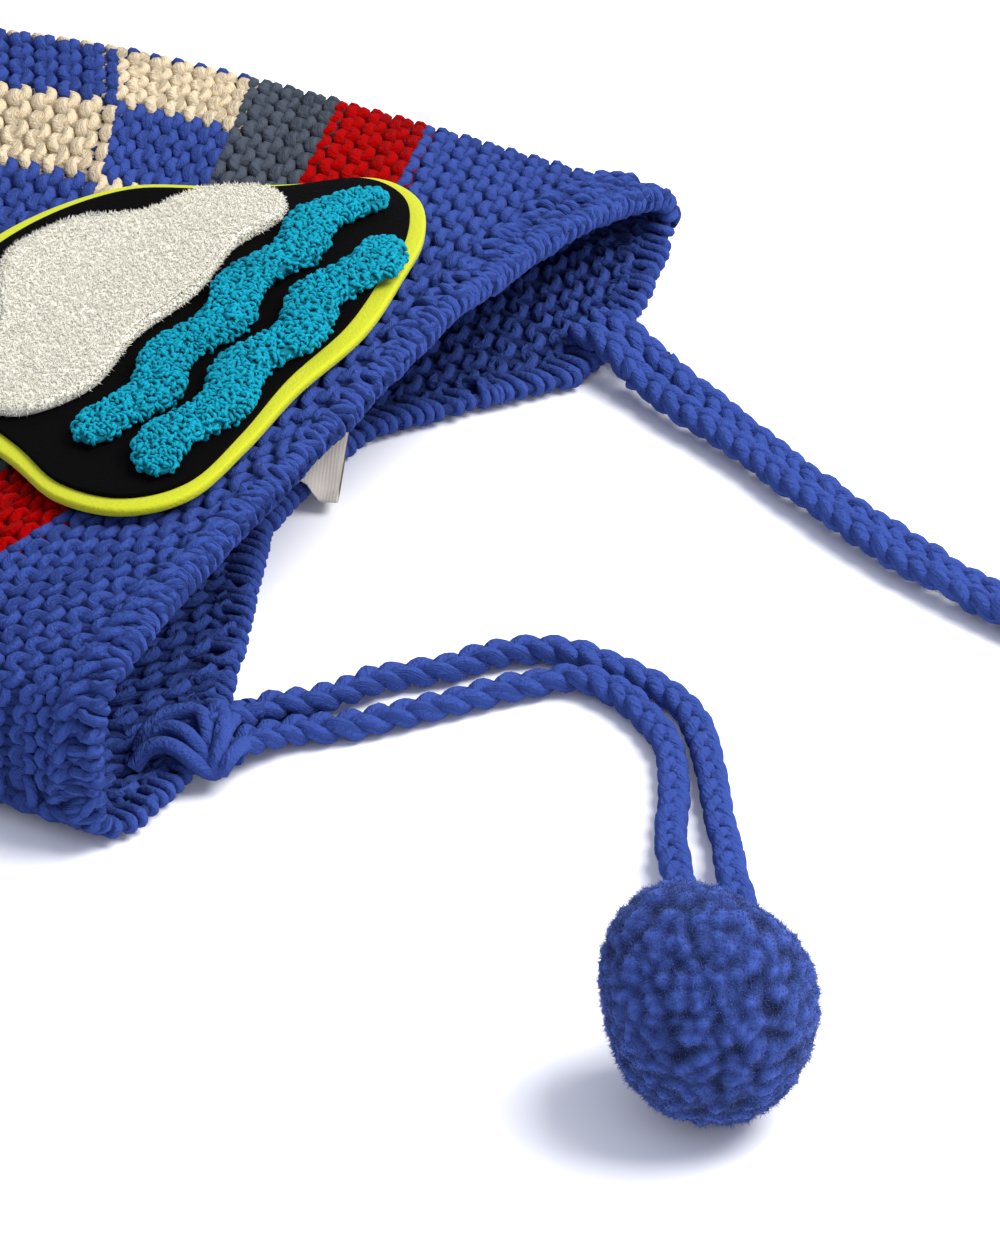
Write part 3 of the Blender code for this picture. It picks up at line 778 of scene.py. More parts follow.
def plait_tree():
    """Three yarns plaited along one line."""
    tree, sizes = geometry_tree(
        "plait", "Half Width", "Half Height", "Turn Length", "Yarn Radius", "Looseness"
    )
    run, fullness = [
        add(tree, "GeometryNodeInputNamedAttribute", key, data_type="FLOAT") for key in ("run", "fullness")
    ]
    side, rise = [
        add(tree, "GeometryNodeInputNamedAttribute", key, data_type="FLOAT_VECTOR") for key in ("side", "rise")
    ]
    turn = add(tree, "ShaderNodeMath", run, sizes["Turn Length"], operation="DIVIDE")
    turn = add(tree, "ShaderNodeMath", turn, 2 * math.pi, operation="MULTIPLY")
    yarns = []
    for number in range(3):
        swing = add(tree, "ShaderNodeMath", turn, number * 2 * math.pi / 3, operation="ADD")
        double = add(tree, "ShaderNodeMath", swing, 2.0, operation="MULTIPLY")
        move = (0.0, 0.0, 0.0)
        for angle, reach, way in ((swing, "Half Width", side), (double, "Half Height", rise)):
            wave = add(tree, "ShaderNodeMath", angle, operation="SINE")
            wave = add(tree, "ShaderNodeMath", wave, sizes[reach], operation="MULTIPLY")
            wave = add(tree, "ShaderNodeMath", wave, fullness, operation="MULTIPLY")
            move = add(tree, "ShaderNodeVectorMath", way, wave, move, operation="MULTIPLY_ADD")
        inputs = {"Geometry": sizes["Geometry"], "Offset": move}
        yarns.append(add(tree, "GeometryNodeSetPosition", inputs=inputs))
    yarns = add(tree, "GeometryNodeJoinGeometry", yarns)
    move = wander(tree, PLAIT_WANDERS, sizes["Looseness"])
    thickness = add(tree, "ShaderNodeTexNoise", inputs={"Scale": PLAIT_SWELLS, "Detail": 1.0})
    thickness = add(tree, "ShaderNodeMath", thickness, 0.5, 0.75, operation="MULTIPLY_ADD")
    thickness = add(tree, "ShaderNodeMath", thickness, fullness, operation="MULTIPLY")
    yarn(tree, yarns, move, thickness, PLAIT_SIDES, sizes)
    return tree


def on_surface(tree, surface, piece, density, most_lean, sizes, seed, upper_only=True):
    """Copies of a piece that stand all over a surface, or over its upper side, each with its own lean and
    spin, and of its own size between two."""
    inputs = {"Density": density, "Seed": seed}
    points = add(tree, "GeometryNodeDistributePointsOnFaces", surface, inputs=inputs)
    if upper_only:
        normal = add(tree, "GeometryNodeInputNormal")
        rise = add(tree, "ShaderNodeSeparateXYZ", normal, output="Z")
        upper = add(tree, "ShaderNodeMath", rise, 0.0, operation="GREATER_THAN")
        tree.links.new(upper, points.node.inputs["Selection"])
    lean = (most_lean, most_lean, math.pi)
    turn = add(
        tree, "FunctionNodeRandomValue", tuple(-most for most in lean), lean, inputs={"Seed": seed + 1},
        data_type="FLOAT_VECTOR",
    )
    turn = add(tree, "FunctionNodeEulerToRotation", turn)
    turn = add(
        tree, "FunctionNodeRotateRotation", points.node.outputs["Rotation"], turn, rotation_space="LOCAL"
    )
    size = add(
        tree, "FunctionNodeRandomValue", inputs={2: sizes[0], 3: sizes[1], "Seed": seed + 2}, output=1,
        data_type="FLOAT",
    )
    return add(
        tree, "GeometryNodeInstanceOnPoints",
        inputs={"Points": points, "Instance": piece, "Rotation": turn, "Scale": size},
    )


def fibre_cone(tree, sizes):
    """One fibre, thick at its root."""
    return add(
        tree, "GeometryNodeMeshCone",
        inputs={"Vertices": 3, "Side Segments": 1, "Fill Segments": 1, "Radius Top": 0.0,
                "Radius Bottom": sizes["Fibre Radius"], "Depth": sizes["Fibre Length"]},
    )


def rising_tip(tree, piece, height, share, least):
    """Marks how near each point of an upright piece is to its tip, for the material's painted shade at the root
    and painted light at the tip.
    """
    place = add(tree, "GeometryNodeInputPosition")
    rise = add(tree, "ShaderNodeSeparateXYZ", place, output="Z")
    rise = add(tree, "ShaderNodeMath", rise, height, operation="DIVIDE")
    tip = add(tree, "ShaderNodeMath", rise, share, least, operation="MULTIPLY_ADD")
    return add(tree, "GeometryNodeStoreNamedAttribute", inputs={"Geometry": piece, "Name": "tip", "Value": tip})


def plush_tree():
    """Short fibres that stand on a surface and lean all ways."""
    tree, sizes = geometry_tree("plush pile", "Density", "Fibre Radius", "Fibre Length")
    fibre = rising_tip(tree, fibre_cone(tree, sizes), sizes["Fibre Length"], 0.7, 0.3)
    fibres = on_surface(tree, sizes["Geometry"], fibre, sizes["Density"], 1.0, (0.6, 1.2), 5)
    finish(tree, add(tree, "GeometryNodeJoinGeometry", [sizes["Geometry"], fibres]), sizes["Material"])
    return tree


def chenille_tree():
    """Curled loops of chenille yarn sewn close together over a bar."""
    tree, sizes = geometry_tree("chenille loops", "Density", "Loop Radius", "Yarn Radius")
    arc = add(
        tree, "GeometryNodeCurveArc",
        inputs={"Resolution": 5, "Radius": sizes["Loop Radius"], "Start Angle": 0.0, "Sweep Angle": math.pi},
    )
    ring = add(
        tree, "GeometryNodeCurvePrimitiveCircle", inputs={"Resolution": 4, "Radius": sizes["Yarn Radius"]}
    )
    loop = add(tree, "GeometryNodeCurveToMesh", arc, ring, inputs={"Fill Caps": True})
    loop = add(tree, "GeometryNodeTransform", loop, inputs={"Rotation": (math.pi / 2, 0.0, 0.0)})
    height = add(tree, "ShaderNodeMath", sizes["Loop Radius"], sizes["Yarn Radius"], operation="ADD")
    loop = rising_tip(tree, loop, height, 1.0, 0.0)
    loops = on_surface(tree, sizes["Geometry"], loop, sizes["Density"], 0.7, (0.7, 1.3), 2)
    finish(tree, add(tree, "GeometryNodeJoinGeometry", [sizes["Geometry"], loops]), sizes["Material"])
    return tree


def pompom_tree():
    """A ball of cut yarn ends: its surface swells into soft tufts, and fine fibres stand all over it."""
    tree, sizes = geometry_tree(
        "yarn pompom", "Tufts", "Tuft Height", "Density", "Fibre Radius", "Fibre Length"
    )
    bend = add(tree, "ShaderNodeTexNoise", inputs={"Scale": POMPOM_WANDERS, "Detail": 1.0}, output="Color")
    bend = add(tree, "ShaderNodeVectorMath", bend, (TUFT_BEND,) * 3, operation="MULTIPLY")
    place = add(tree, "GeometryNodeInputPosition")
    place = add(tree, "ShaderNodeVectorMath", place, TUFT_STRETCH, bend, operation="MULTIPLY_ADD")
    tuft = add(
        tree, "ShaderNodeTexVoronoi", inputs={"Vector": place, "Scale": sizes["Tufts"], "Smoothness": 0.6},
        output="Distance", feature="SMOOTH_F1",
    )
    tuft = add(tree, "ShaderNodeMath", tuft, -1.5, 1.0, operation="MULTIPLY_ADD")
    uneven = add(tree, "ShaderNodeTexNoise", inputs={"Scale": TUFT_FUZZ, "Detail": 2.0})
    tuft = add(tree, "ShaderNodeMath", uneven, 0.5, tuft, operation="MULTIPLY_ADD")
    rise = add(tree, "ShaderNodeMath", tuft, 0.6, operation="SUBTRACT")
    rise = add(tree, "ShaderNodeMath", rise, sizes["Tuft Height"], operation="MULTIPLY")
    normal = add(tree, "GeometryNodeInputNormal")
    out = add(tree, "ShaderNodeVectorMath", normal, rise, operation="MULTIPLY")
    # Painted shade: the hollows between tufts get a low tip mark, so they are darker than the crests
    tip = add(tree, "ShaderNodeMath", tuft, 1.3, -0.5, operation="MULTIPLY_ADD")
    inputs = {"Geometry": sizes["Geometry"], "Name": "tip", "Value": tip}
    ball = add(tree, "GeometryNodeStoreNamedAttribute", inputs=inputs)
    ball = add(tree, "GeometryNodeSetPosition", inputs={"Geometry": ball, "Offset": out})
    # Painted light: the fibres get a paler tip mark than the tufts that they stand on
    tip = add(tree, "GeometryNodeInputNamedAttribute", "tip", data_type="FLOAT")
    tip = add(tree, "ShaderNodeMath", tip, 0.8, 0.42, operation="MULTIPLY_ADD")
    pale = add(tree, "GeometryNodeStoreNamedAttribute", inputs={"Geometry": ball, "Name": "tip", "Value": tip})
    fibres = on_surface(
        tree, pale, fibre_cone(tree, sizes), sizes["Density"], 1.2, (0.7, 1.3), 11, upper_only=False
    )
    finish(tree, add(tree, "GeometryNodeJoinGeometry", [ball, fibres]), sizes["Material"])
    return tree


# Materials


def new_material(name, **settings):
    """A material whose uniform values are set on the shader itself."""
    material = bpy.data.materials.new(name)
    material.use_nodes = True
    shader = material.node_tree.nodes["Principled BSDF"]
    for key, value in settings.items():
        shader.inputs[key.replace("_", " ")].default_value = value
    return material, material.node_tree, shader


def grain(tree, *grain_sizes, detail=3.0):
    """Patterns fixed to the object, each as coarse as a size in mm."""
    place = add(tree, "ShaderNodeTexCoord", output="Object")
    return [
        add(tree, "ShaderNodeTexNoise", inputs={"Vector": place, "Scale": 1.0 / (size * MM), "Detail": detail})
        for size in grain_sizes
    ]


def colour_between(tree, shader, tone, deep, light, height=None, strength=0.0, depth=0.0):
    """Colours a shader between two tones, and presses a pattern into it as deep as a size in metres."""
    inputs = {"Factor": tone, "A": deep, "B": light}
    colour = add(tree, "ShaderNodeMix", inputs=inputs, output="Result", data_type="RGBA")
    tree.links.new(colour, shader.inputs["Base Color"])
    if height is not None:
        bump = add(tree, "ShaderNodeBump", inputs={"Height": height, "Strength": strength, "Distance": depth})
        tree.links.new(bump, shader.inputs["Normal"])


def yarn_material(name, colour, dive_shade):
    """Soft acrylic yarn: matt, with fibres that run along it in a faint twist, a little lighter and darker from
    place to place, and darkened by painted shade where a loop dives into the fabric."""
    material, tree, shader = new_material(
        name, Roughness=0.95, Sheen_Weight=0.02, Sheen_Roughness=0.5, Specular_IOR_Level=0.0
    )
    along, turn, phase = [
        add(tree, "ShaderNodeAttribute", output="Fac", attribute_name=key)
        for key in ("yarn_along", "yarn_turn", "phase")
    ]
    twist = add(tree, "ShaderNodeMath", along, 1.0 / (YARN_TWIST * MM), turn, operation="MULTIPLY_ADD")
    ply = add(tree, "ShaderNodeMath", twist, 2 * math.pi * YARN_PLIES, operation="MULTIPLY")
    ply = add(tree, "ShaderNodeMath", ply, operation="SINE")
    fibre_along = add(tree, "ShaderNodeMath", along, 1.0 / (YARN_FIBRE * MM), operation="MULTIPLY")
    fibre_round = add(tree, "ShaderNodeMath", twist, YARN_FIBRES_ROUND, operation="MULTIPLY")
    lay = add(tree, "ShaderNodeCombineXYZ", fibre_along, fibre_round)
    fibre = add(tree, "ShaderNodeTexNoise", inputs={"Vector": lay, "Scale": 1.0, "Detail": 3.0})
    fuzz, patches = grain(tree, YARN_FUZZ, YARN_PATCHES)
    height = add(tree, "ShaderNodeMath", fibre, fuzz, operation="ADD")
    height = add(tree, "ShaderNodeMath", ply, 0.12, height, operation="MULTIPLY_ADD")
    tone = add(tree, "ShaderNodeMath", patches, 0.6, -0.32, operation="MULTIPLY_ADD")
    tone = add(tree, "ShaderNodeMath", fibre, 0.8, tone, operation="MULTIPLY_ADD")
    tone = add(tree, "ShaderNodeMath", fuzz, 0.35, tone, operation="MULTIPLY_ADD")
    inputs = {"Factor": tone, "A": linear(colour, 0.72), "B": linear(colour, 1.17, 0.0005)}
    lit = add(tree, "ShaderNodeMix", inputs=inputs, output="Result", data_type="RGBA")
    # Painted shade: the colour darkens towards a deep tone by the phase, where the loop dives into the fabric
    surface = add(tree, "ShaderNodeMath", phase, 2.0, operation="MULTIPLY")
    surface = add(tree, "ShaderNodeMath", surface, operation="COSINE")
    surface = add(tree, "ShaderNodeMath", surface, dive_shade, 1.02 - dive_shade, operation="MULTIPLY_ADD")
    colour_between(tree, shader, surface, linear(colour, 0.144), lit, height, 0.9, 0.7 * MM)
    return material


def core_material():
    """The same yarn seen deep between the loops: matt, its colour darkened by painted shade, and mottled darker
    still with fibre.
    """
    material, tree, shader = new_material("acrylic yarn in shadow", Roughness=1.0, Specular_IOR_Level=0.1)
    colour = add(tree, "ShaderNodeAttribute", output="Color", attribute_name="yarn_colour")
    [fibre] = grain(tree, CORE_FIBRE, detail=2.0)
    tone = add(tree, "ShaderNodeMath", fibre, 0.5, operation="MULTIPLY")
    colour_between(tree, shader, tone, colour, (0.0, 0.0, 0.0, 1.0))
    return material


def felt_material(name, colour, sheen):
    """Pressed wool felt: matt, with a surface of fine tangled fibre."""
    material, tree, shader = new_material(name, Roughness=1.0, Sheen_Weight=sheen, Specular_IOR_Level=0.05)
    [fibre] = grain(tree, FELT_FIBRE, detail=4.0)
    colour_between(tree, shader, fibre, linear(colour, 0.8), linear(colour), fibre, 0.6, FELT_RELIEF * MM)
    return material


def tape_material():
    """Woven polyester tape: fine ribs across it, crossed by finer threads along it, with a faint gloss."""
    material, tree, shader = new_material("woven polyester tape, grey", Roughness=0.7, Specular_IOR_Level=0.3)
    weave = 0.0
    for key, spacing, share in (("tape_along", TAPE_RIB, 1.0), ("tape_across", TAPE_THREAD, 0.5)):
        way = add(tree, "ShaderNodeAttribute", output="Fac", attribute_name=key)
        wave = add(tree, "ShaderNodeMath", way, 2 * math.pi / spacing, operation="MULTIPLY")
        wave = add(tree, "ShaderNodeMath", wave, operation="SINE")
        weave = add(tree, "ShaderNodeMath", wave, share, weave, operation="MULTIPLY_ADD")
    [worn] = grain(tree, TAPE_WEAR)
    tone = add(tree, "ShaderNodeMath", weave, 0.08, worn, operation="MULTIPLY_ADD")
    colour_between(tree, shader, tone, linear(TAPE, 0.7), linear(TAPE), weave, 0.3, 0.1 * MM)
    return material


def pile_material(name, colour, root_share, tip_share, roughness, sheen):
    """Cut or looped pile: darkened between the roots by painted shade, and lightened at the tips by painted
    light, with a soft bloom.
    """
    material, tree, shader = new_material(
        name, Roughness=roughness, Sheen_Weight=sheen, Sheen_Roughness=0.4, Specular_IOR_Level=0.15,
        Sheen_Tint=[value**0.5 for value in linear(colour)],
    )
    tip = add(tree, "ShaderNodeAttribute", output="Fac", attribute_name="tip")
    [patches] = grain(tree, PILE_PATCHES, detail=4.0)
    [fibre] = grain(tree, PILE_FIBRE, detail=2.0)
    tone = add(tree, "ShaderNodeMath", patches, 0.5, operation="MULTIPLY")
    tone = add(tree, "ShaderNodeMath", tip, 0.75, tone, operation="MULTIPLY_ADD")
    # Painted shade at the roots and painted light at the tips
    root, end = linear(colour, root_share), linear(colour, tip_share)
    colour_between(tree, shader, tone, root, end, fibre, 0.5, 0.4 * MM)
    return material


# Knitting


def colour_of(skin, stitch, row):
    """The yarn's colour at a stitch and a row."""
    rows_left = skin.round_value(skin.edge_rows, stitch) - row
    if row >= BLUE_BAND_ROW or row < CROWN_ROW or rows_left < LAST_BLUE_ROWS:
        return "blue"
    if row >= RED_ROW:
        return "red"
    if row >= GREY_ROW:
        return "grey"
    block = math.floor((stitch - BLOCK_START) / BLOCK_STITCHES)
    course = 1 if row >= CHEQUER_ROW else 0
    return "beige" if (block + course) % 2 else "blue"


def stitches_in_row(row):
    """The crown loses stitches towards its gathered middle."""
    return next(count for first_row, count in CROWN_STITCHES if row >= first_row)


def inside_outline(place, outline):
    """Whether a place in plan lies within a closed outline."""
    after = np.roll(outline, -1, axis=0)
    straddles = (outline[:, 1] > place[1]) != (after[:, 1] > place[1])
    rise = np.where(straddles, after[:, 1] - outline[:, 1], 1.0)
    cross_x = outline[:, 0] + (after[:, 0] - outline[:, 0]) * (place[1] - outline[:, 1]) / rise
    return bool(np.count_nonzero(straddles & (place[0] < cross_x)) % 2)


def loop_runs(skin):
    """Runs of one colour along each row: colour, row, width of a stitch, and first and last half loop.

    Half loops are heads and feet by turns. A head shows in the row before its own and a foot in the
    row after, and each takes the colour of the row that it shows in, so the stripes end cleanly."""
    runs = []
    patch_outline = rounded_outline(FELT_OUTLINE, PATCH_CENTRE, inset=PATCH_HIDES)
    for row in range(int(RINGS[-1][0])):
        count = stitches_in_row(row)
        width = STITCHES / count
        run = None
        for half in range(2 * count):
            is_head = half % 2 == 0
            stitch = (half // 2 + (0.5 if is_head else 1.0)) * width
            shown_row = row - 1 if is_head else row + 1
            place, _ = skin.at(stitch, shown_row + 0.5)
            lowest = row + 0.5 if is_head else row + 0.5 + LOOP_HEIGHT
            shows = lowest <= skin.round_value(skin.edge_rows, stitch) - KNIT_STOPS
            hidden = stitch < STITCHES / 2 and inside_outline(place, patch_outline)
            colour = colour_of(skin, stitch, max(shown_row, 0)) if shows and not hidden else None
            if run and colour == run[0]:
                run[4] = half + 1
                continue
            if run:
                runs.append(run)
            run = [colour, row, width, half, half + 1] if colour else None
        if run:
            runs.append(run)
    return runs


def facing(stitch, row):
    """1 where the loops' heads and feet lie on the outside, and less than 0 where they lie on the inside."""
    start, full, full_end, end = INSIDE_PURL
    first_row, full_row = INSIDE_PURL_ROWS
    starts = smooth_step((stitch - start) / (full - start))
    ends = smooth_step((end - stitch) / (end - full_end))
    row_share = smooth_step((row - first_row) / (full_row - first_row))
    return 1.0 - INSIDE_PURL_TURN * starts * ends * row_share


def knitted_yarn(skin, materials):
    """The loops of every row, as a piece for each colour on the front, the front's blue band and the back."""
    loops = loop_tree("knit loops", FRONT_SIDES)
    trees = {"front": loops, "band": loops, "back": loop_tree("knit loops below", BACK_SIDES)}
    groups = {}
    for colour, row, width, first, last in loop_runs(skin):
        side = "front" if first * width / 2 < STITCHES / 2 else "back"
        part = "band" if row >= BLUE_BAND_ROW and side == "front" else side
        points = FRONT_POINTS if side == "front" else BACK_POINTS
        phase = (np.linspace(first, last, (last - first) * points // 2 + 1) - 0.5) * math.pi
        stitch = width * (0.5 + phase / (2 * math.pi))
        row_middle = np.full(len(phase), row + 0.5)
        place, round_step, row_step, normal = skin.frames(stitch, row_middle, WALL / 2)
        crown_share = min(1.0, (row + 0.4) / 2.0)
        values = {
            "phase": phase,
            "facing": facing(stitch, row_middle),
            "round_step": round_step * width * MM,
            "row_step": row_step * crown_share * MM,
            "wall_normal": normal,
        }
        lines, group = groups.setdefault((colour, part), ([], {key: [] for key in values}))
        lines.append(place)
        for key, numbers in values.items():
            group[key].append(numbers)
    for (colour, part), (lines, group) in groups.items():
        obj = wire(f"knit_{colour}_{part}", lines, group)
        grow(obj, trees[part], {**LOOP, "Material": materials[colour]})
        keep(obj, "knit_body")


def knitted_core(skin):
    """A thin layer behind the loops, in the yarns' colours darkened by painted shade, so that the holes between
    stitches look deep.
    """
    places = np.arange(0.0, STITCHES, 0.5)
    limit = skin.round_value(skin.edge_rows, places) - CORE_STOPS
    rows = CORE_STARTS + (limit - CORE_STARTS) * np.linspace(0.0, 1.0, 41)[:, None]
    spread = np.broadcast_to(places, rows.shape)
    depth = WALL / 2 + CORE_BEHIND * facing(spread, rows)
    outer, _ = skin.at(spread, rows, depth)
    inner, _ = skin.at(spread, rows, depth + CORE_THICK)
    obj = closed_rings("knit_core", [*outer, *inner[::-1]], [], core_material())
    bands = [
        [colour_of(skin, place + 0.25, row) for place, row in zip(places, middle)]
        for middle in (rows[:-1] + rows[1:]) / 2
    ]
    blue = ["blue"] * len(places)
    # Painted shade: each yarn's colour darkened to its share, for the shade deep between the loops
    dark = {name: linear(colour, share) for name, (colour, _, share) in YARNS.items()}
    colours = [dark[name] for band in [["blue"], *bands, blue, *bands[::-1], ["blue"]] for name in band]
    corners = np.repeat(colours, [face.loop_total for face in obj.data.polygons], axis=0)
    paint = obj.data.attributes.new("yarn_colour", "FLOAT_COLOR", "CORNER")
    paint.data.foreach_set("color", corners.astype(np.float32).ravel())
    keep(obj, "knit_body")


# Edging


def rim_places(skin, pitch):
    """Places round the opening, in stitches, one for each pitch along its edge."""
    edge, _ = skin.at(np.arange(0, STITCHES, 1 / skin.SHARES), skin.edge_rows, WALL / 2)
    length = distances(np.concatenate([edge, edge[:1]]))
    at = np.linspace(0.0, length[-1], int(round(length[-1] / pitch)), endpoint=False)
    return np.interp(at, length, np.arange(0, STITCHES + 0.1, 1 / skin.SHARES))


def at_edge(skin, stitch, depth):
    """The edge's row, its place and outward normal, and a row's step up to it."""
    edge = skin.round_value(skin.edge_rows, stitch)
    here, normal = skin.at(stitch, edge - 0.02, depth)
    back, _ = skin.at(stitch, edge - 1.0, depth)
    return edge, here, normal, here - back


def rib(skin, stitch, outside, inside, slant, half, lift):
    """A yarn's line wrapped over the edge, from a reach outside to a reach inside, in mm."""
    depth = WALL / 2 + lift
    edge, here, normal, step = at_edge(skin, stitch, depth)
    row_length = np.linalg.norm(step)
    along = step / row_length
    turn = np.linspace(0.0, math.pi, 6)[:, None]
    middle = here - along * (half + EDGE_DRAW_IN)
    bend = middle + along * np.sin(turn) * half + normal * np.cos(turn) * half
    first = (half + EDGE_DRAW_IN) / row_length
    dive = RIB_DIVE * np.linspace(0.0, 1.0, 4)[:, None] ** 2
    out_steps = np.linspace(max(outside / row_length, first + 0.3), first, 5)[:-1]
    in_steps = np.linspace(first, max(inside / row_length, first + 0.3), 5)[1:]
    out_line, _ = skin.at(stitch + slant * (out_steps - first), edge - out_steps, depth - half)
    in_line, _ = skin.at(stitch + 0.4 * slant * (in_steps - first), edge - in_steps, depth + half)
    return np.concatenate([out_line - normal * dive[::-1], bend, in_line + normal * dive])


def roll(skin):
    """The filled roll's middle line, once round the opening, which the ribs wrap."""
    places = np.append(rim_places(skin, ROLL_PITCH), STITCHES)
    lift = BACK_LIFT * smooth_step(np.minimum(places - STITCHES / 2, STITCHES - places))
    _, here, _, step = at_edge(skin, places, WALL / 2 + lift)
    return here - unit(step) * ROLL_DRAW_IN


def swell(count, least, random):
    """A strand's thickness along its line: thin where it dives under, and uneven between."""
    way = np.linspace(0.0, 1.0, count)
    uneven = 1.0 + 0.12 * np.sin(way * random.uniform(5.0, 11.0) + random.uniform(0.0, 6.3))
    return (least + (1.0 - least) * np.clip(np.sin(way * math.pi) * 2.2, 0.0, 1.0)) * uneven


def strand(line, size, least, dive, random):
    """A strand's line, its thickness, and its phase, which darkens it with painted shade where its ends dive
    under.
    """
    return line, size * swell(len(line), least, random), np.linspace(-dive, dive, len(line))


def ribs(skin, random):
    """Ribs of yarn wrapped over the edge all round, as the table of ribs says, and the roll in them."""
    strands = []
    for start, end, pitch, radius, reach, inner in EDGE_RIBS:
        for place in rim_places(skin, pitch):
            if not start <= place < end:
                continue
            size = radius * random.uniform(*RIB_SIZE)
            slant = random.normal(*RIB_SLANT)
            outside = skin.round_value(skin.depths, place) * reach * random.uniform(*RIB_OUTSIDE)
            inside = inner * random.uniform(*RIB_INSIDE)
            half = WALL / 2 + EDGE_PROUD - radius + random.uniform(*RIB_PROUD)
            lift = BACK_LIFT if place > STITCHES / 2 else 0.0
            beside = random.normal(0.0, RIB_ASIDE)
            line = rib(skin, place + beside, outside, inside, slant, half + random.uniform(*RIB_LOOSE), lift)
            strands.append(strand(line, size, 0.65, 1.1, random))
    filling = roll(skin)
    # The roll's phase paints it with a gap's painted shade
    return strands + [(filling, np.full(len(filling), ROLL_RADIUS), np.full(len(filling), ROLL_PHASE))]


def knobs(skin, random):
    """Gathered loops on the front of the band: slanting knobs, arches above them, and long pale
    leaf loops end to end along the upper line towards the -X fold."""
    strands = []
    run = np.linspace(0.0, 1.0, 7)
    for place in rim_places(skin, KNOB_PITCH):
        if place > STITCHES / 2 + 0.5:
            continue
        top = skin.round_value(skin.band_rows, place)
        edge = skin.round_value(skin.edge_rows, place)
        courses = int(round(skin.round_value(skin.depths, place) / KNOB_LENGTH))
        for course in range(courses):
            middle = top + (edge - top) * ((course + 0.5) / courses + random.uniform(*KNOB_ALONG))
            half = random.uniform(*KNOB_HALF)
            at = place + random.uniform(*KNOB_ASIDE) + random.uniform(*KNOB_SLANT) * (0.5 - run)
            points, normal = skin.at(at, np.minimum(middle + half * (2 * run - 1), edge - 0.3), 1.3)
            bow = np.sin(run * math.pi) * random.uniform(*KNOB_RISE) - 0.45
            line = points + normal * bow[:, None]
            strands.append(strand(line, random.uniform(*KNOB_SIZE), 0.55, 1.5, random))
    turn = np.linspace(-0.25 * math.pi, 1.25 * math.pi, 9)
    for place in np.arange(0.4, STITCHES / 2, ARCH_PITCH):
        top = skin.round_value(skin.band_rows, place)
        at = place + random.uniform(*ARCH_HALF) * np.cos(turn) + 0.12 * np.sin(turn)
        points, normal = skin.at(at, top + 0.55 - 0.62 * np.sin(turn), 1.0)
        bow = 0.75 * np.sin(turn) - 0.2
        line = points + normal * bow[:, None]
        strands.append(strand(line, random.uniform(*ARCH_SIZE), 0.7, 1.5, random))
    for place in np.arange(LEAF_START, STITCHES / 2 - 0.8, LEAF_PITCH):
        top = skin.round_value(skin.band_rows, place)
        length = random.uniform(*LEAF_LENGTH)
        slant = random.uniform(*LEAF_SLANT)
        points, normal = skin.at(place + length * (run - 0.5), top + 0.35 + slant * (0.5 - run), 0.6)
        bow = 1.7 * np.sin(run * math.pi) - 0.5
        line = points + normal * bow[:, None]
        strands.append(strand(line, random.uniform(*LEAF_SIZE), 0.45, 1.5, random))
    return strands


def edging(skin, tree, material):
    """The band round the opening: ribs round a filled roll, and on the front gathered loops above them."""
    random = np.random.default_rng(11)
    for name, work, looseness in (("edging_ribs", ribs, 1.3), ("edging_knobs", knobs, 1.2)):
        lines, thickness, phase = zip(*work(skin, random))
        obj = wire(name, lines, {"thickness": thickness, "phase": phase})
        grow(obj, tree, {"Yarn Radius": MM, "Looseness": looseness * MM, "Material": material})
        keep(obj, "edging_band")


# Ties


def smooth_route(points, step):
    """A smooth curve through a route's points, with a point at every step."""
    points = np.array(points, float)
    ends = np.concatenate([[2 * points[0] - points[1]], points, [2 * points[-1] - points[-2]]])
    curve = np.concatenate([smooth_line(ends, 12), points[-1:]])
    return spaced(curve, np.linspace(0.0, 1.0, int(round(distances(curve)[-1] / step)) + 1))


def plait_piece(name, paths, tapers, node, tree, material):
    """Plaits along paths, held open by the knot: one that tapers by its start, and any other all along."""
    values = {"run": [], "side": [], "rise": [], "fullness": []}
    for path in paths:
        way = unit(np.gradient(path, axis=0))
        side = unit(np.cross(way, (0.0, 0.0, 1.0)))
        run = distances(path)
        held = np.exp(-run / PLAIT_TAPER) if tapers else np.ones_like(run)
        uneven = 0.08 * np.sin(run / 7.3 + path[0, 0])
        values["run"].append(run * MM)
        values["side"].append(side)
        values["rise"].append(np.cross(side, way))
        values["fullness"].append(1.0 + (PLAIT_START - 1.0) * held + uneven)
    obj = wire(name, paths, values)
    grow(obj, tree, {**PLAIT, "Material": material})
    keep(obj, node)
    return obj


def tie_cord(name, route, tree, material):
    """A tie, as the plait that it is, which is a free cord with its pompom on it."""
    path = smooth_route(route, 0.8)
    obj = plait_piece(name + "_plait", [path], True, name, tree, material)


def knots(strands, plait, material):
    """The yarns that hold the ties: a bundle over the near flap's edge, and the plaits' first stretches."""
    lines = [smooth_route(points, 1.0) for points in NEAR_STRANDS]
    random = np.random.default_rng(5)
    thickness = [swell(len(line), 0.7, random) for line in lines]
    bundle = wire("tie_knot_near_strands", lines, {"thickness": thickness})
    grow(bundle, strands, {"Yarn Radius": STRAND_RADIUS * MM, "Looseness": 0.8 * MM, "Material": material})
    keep(bundle, "tie_knot_near")
    for side, leads in (("near", NEAR_LEADS), ("far", FAR_LEADS)):
        node = f"tie_knot_{side}"
        paths = [smooth_route(lead, 0.8) for lead in leads]
        plait_piece(node + "_plaits", paths, False, node, plait, material)


# Pompoms


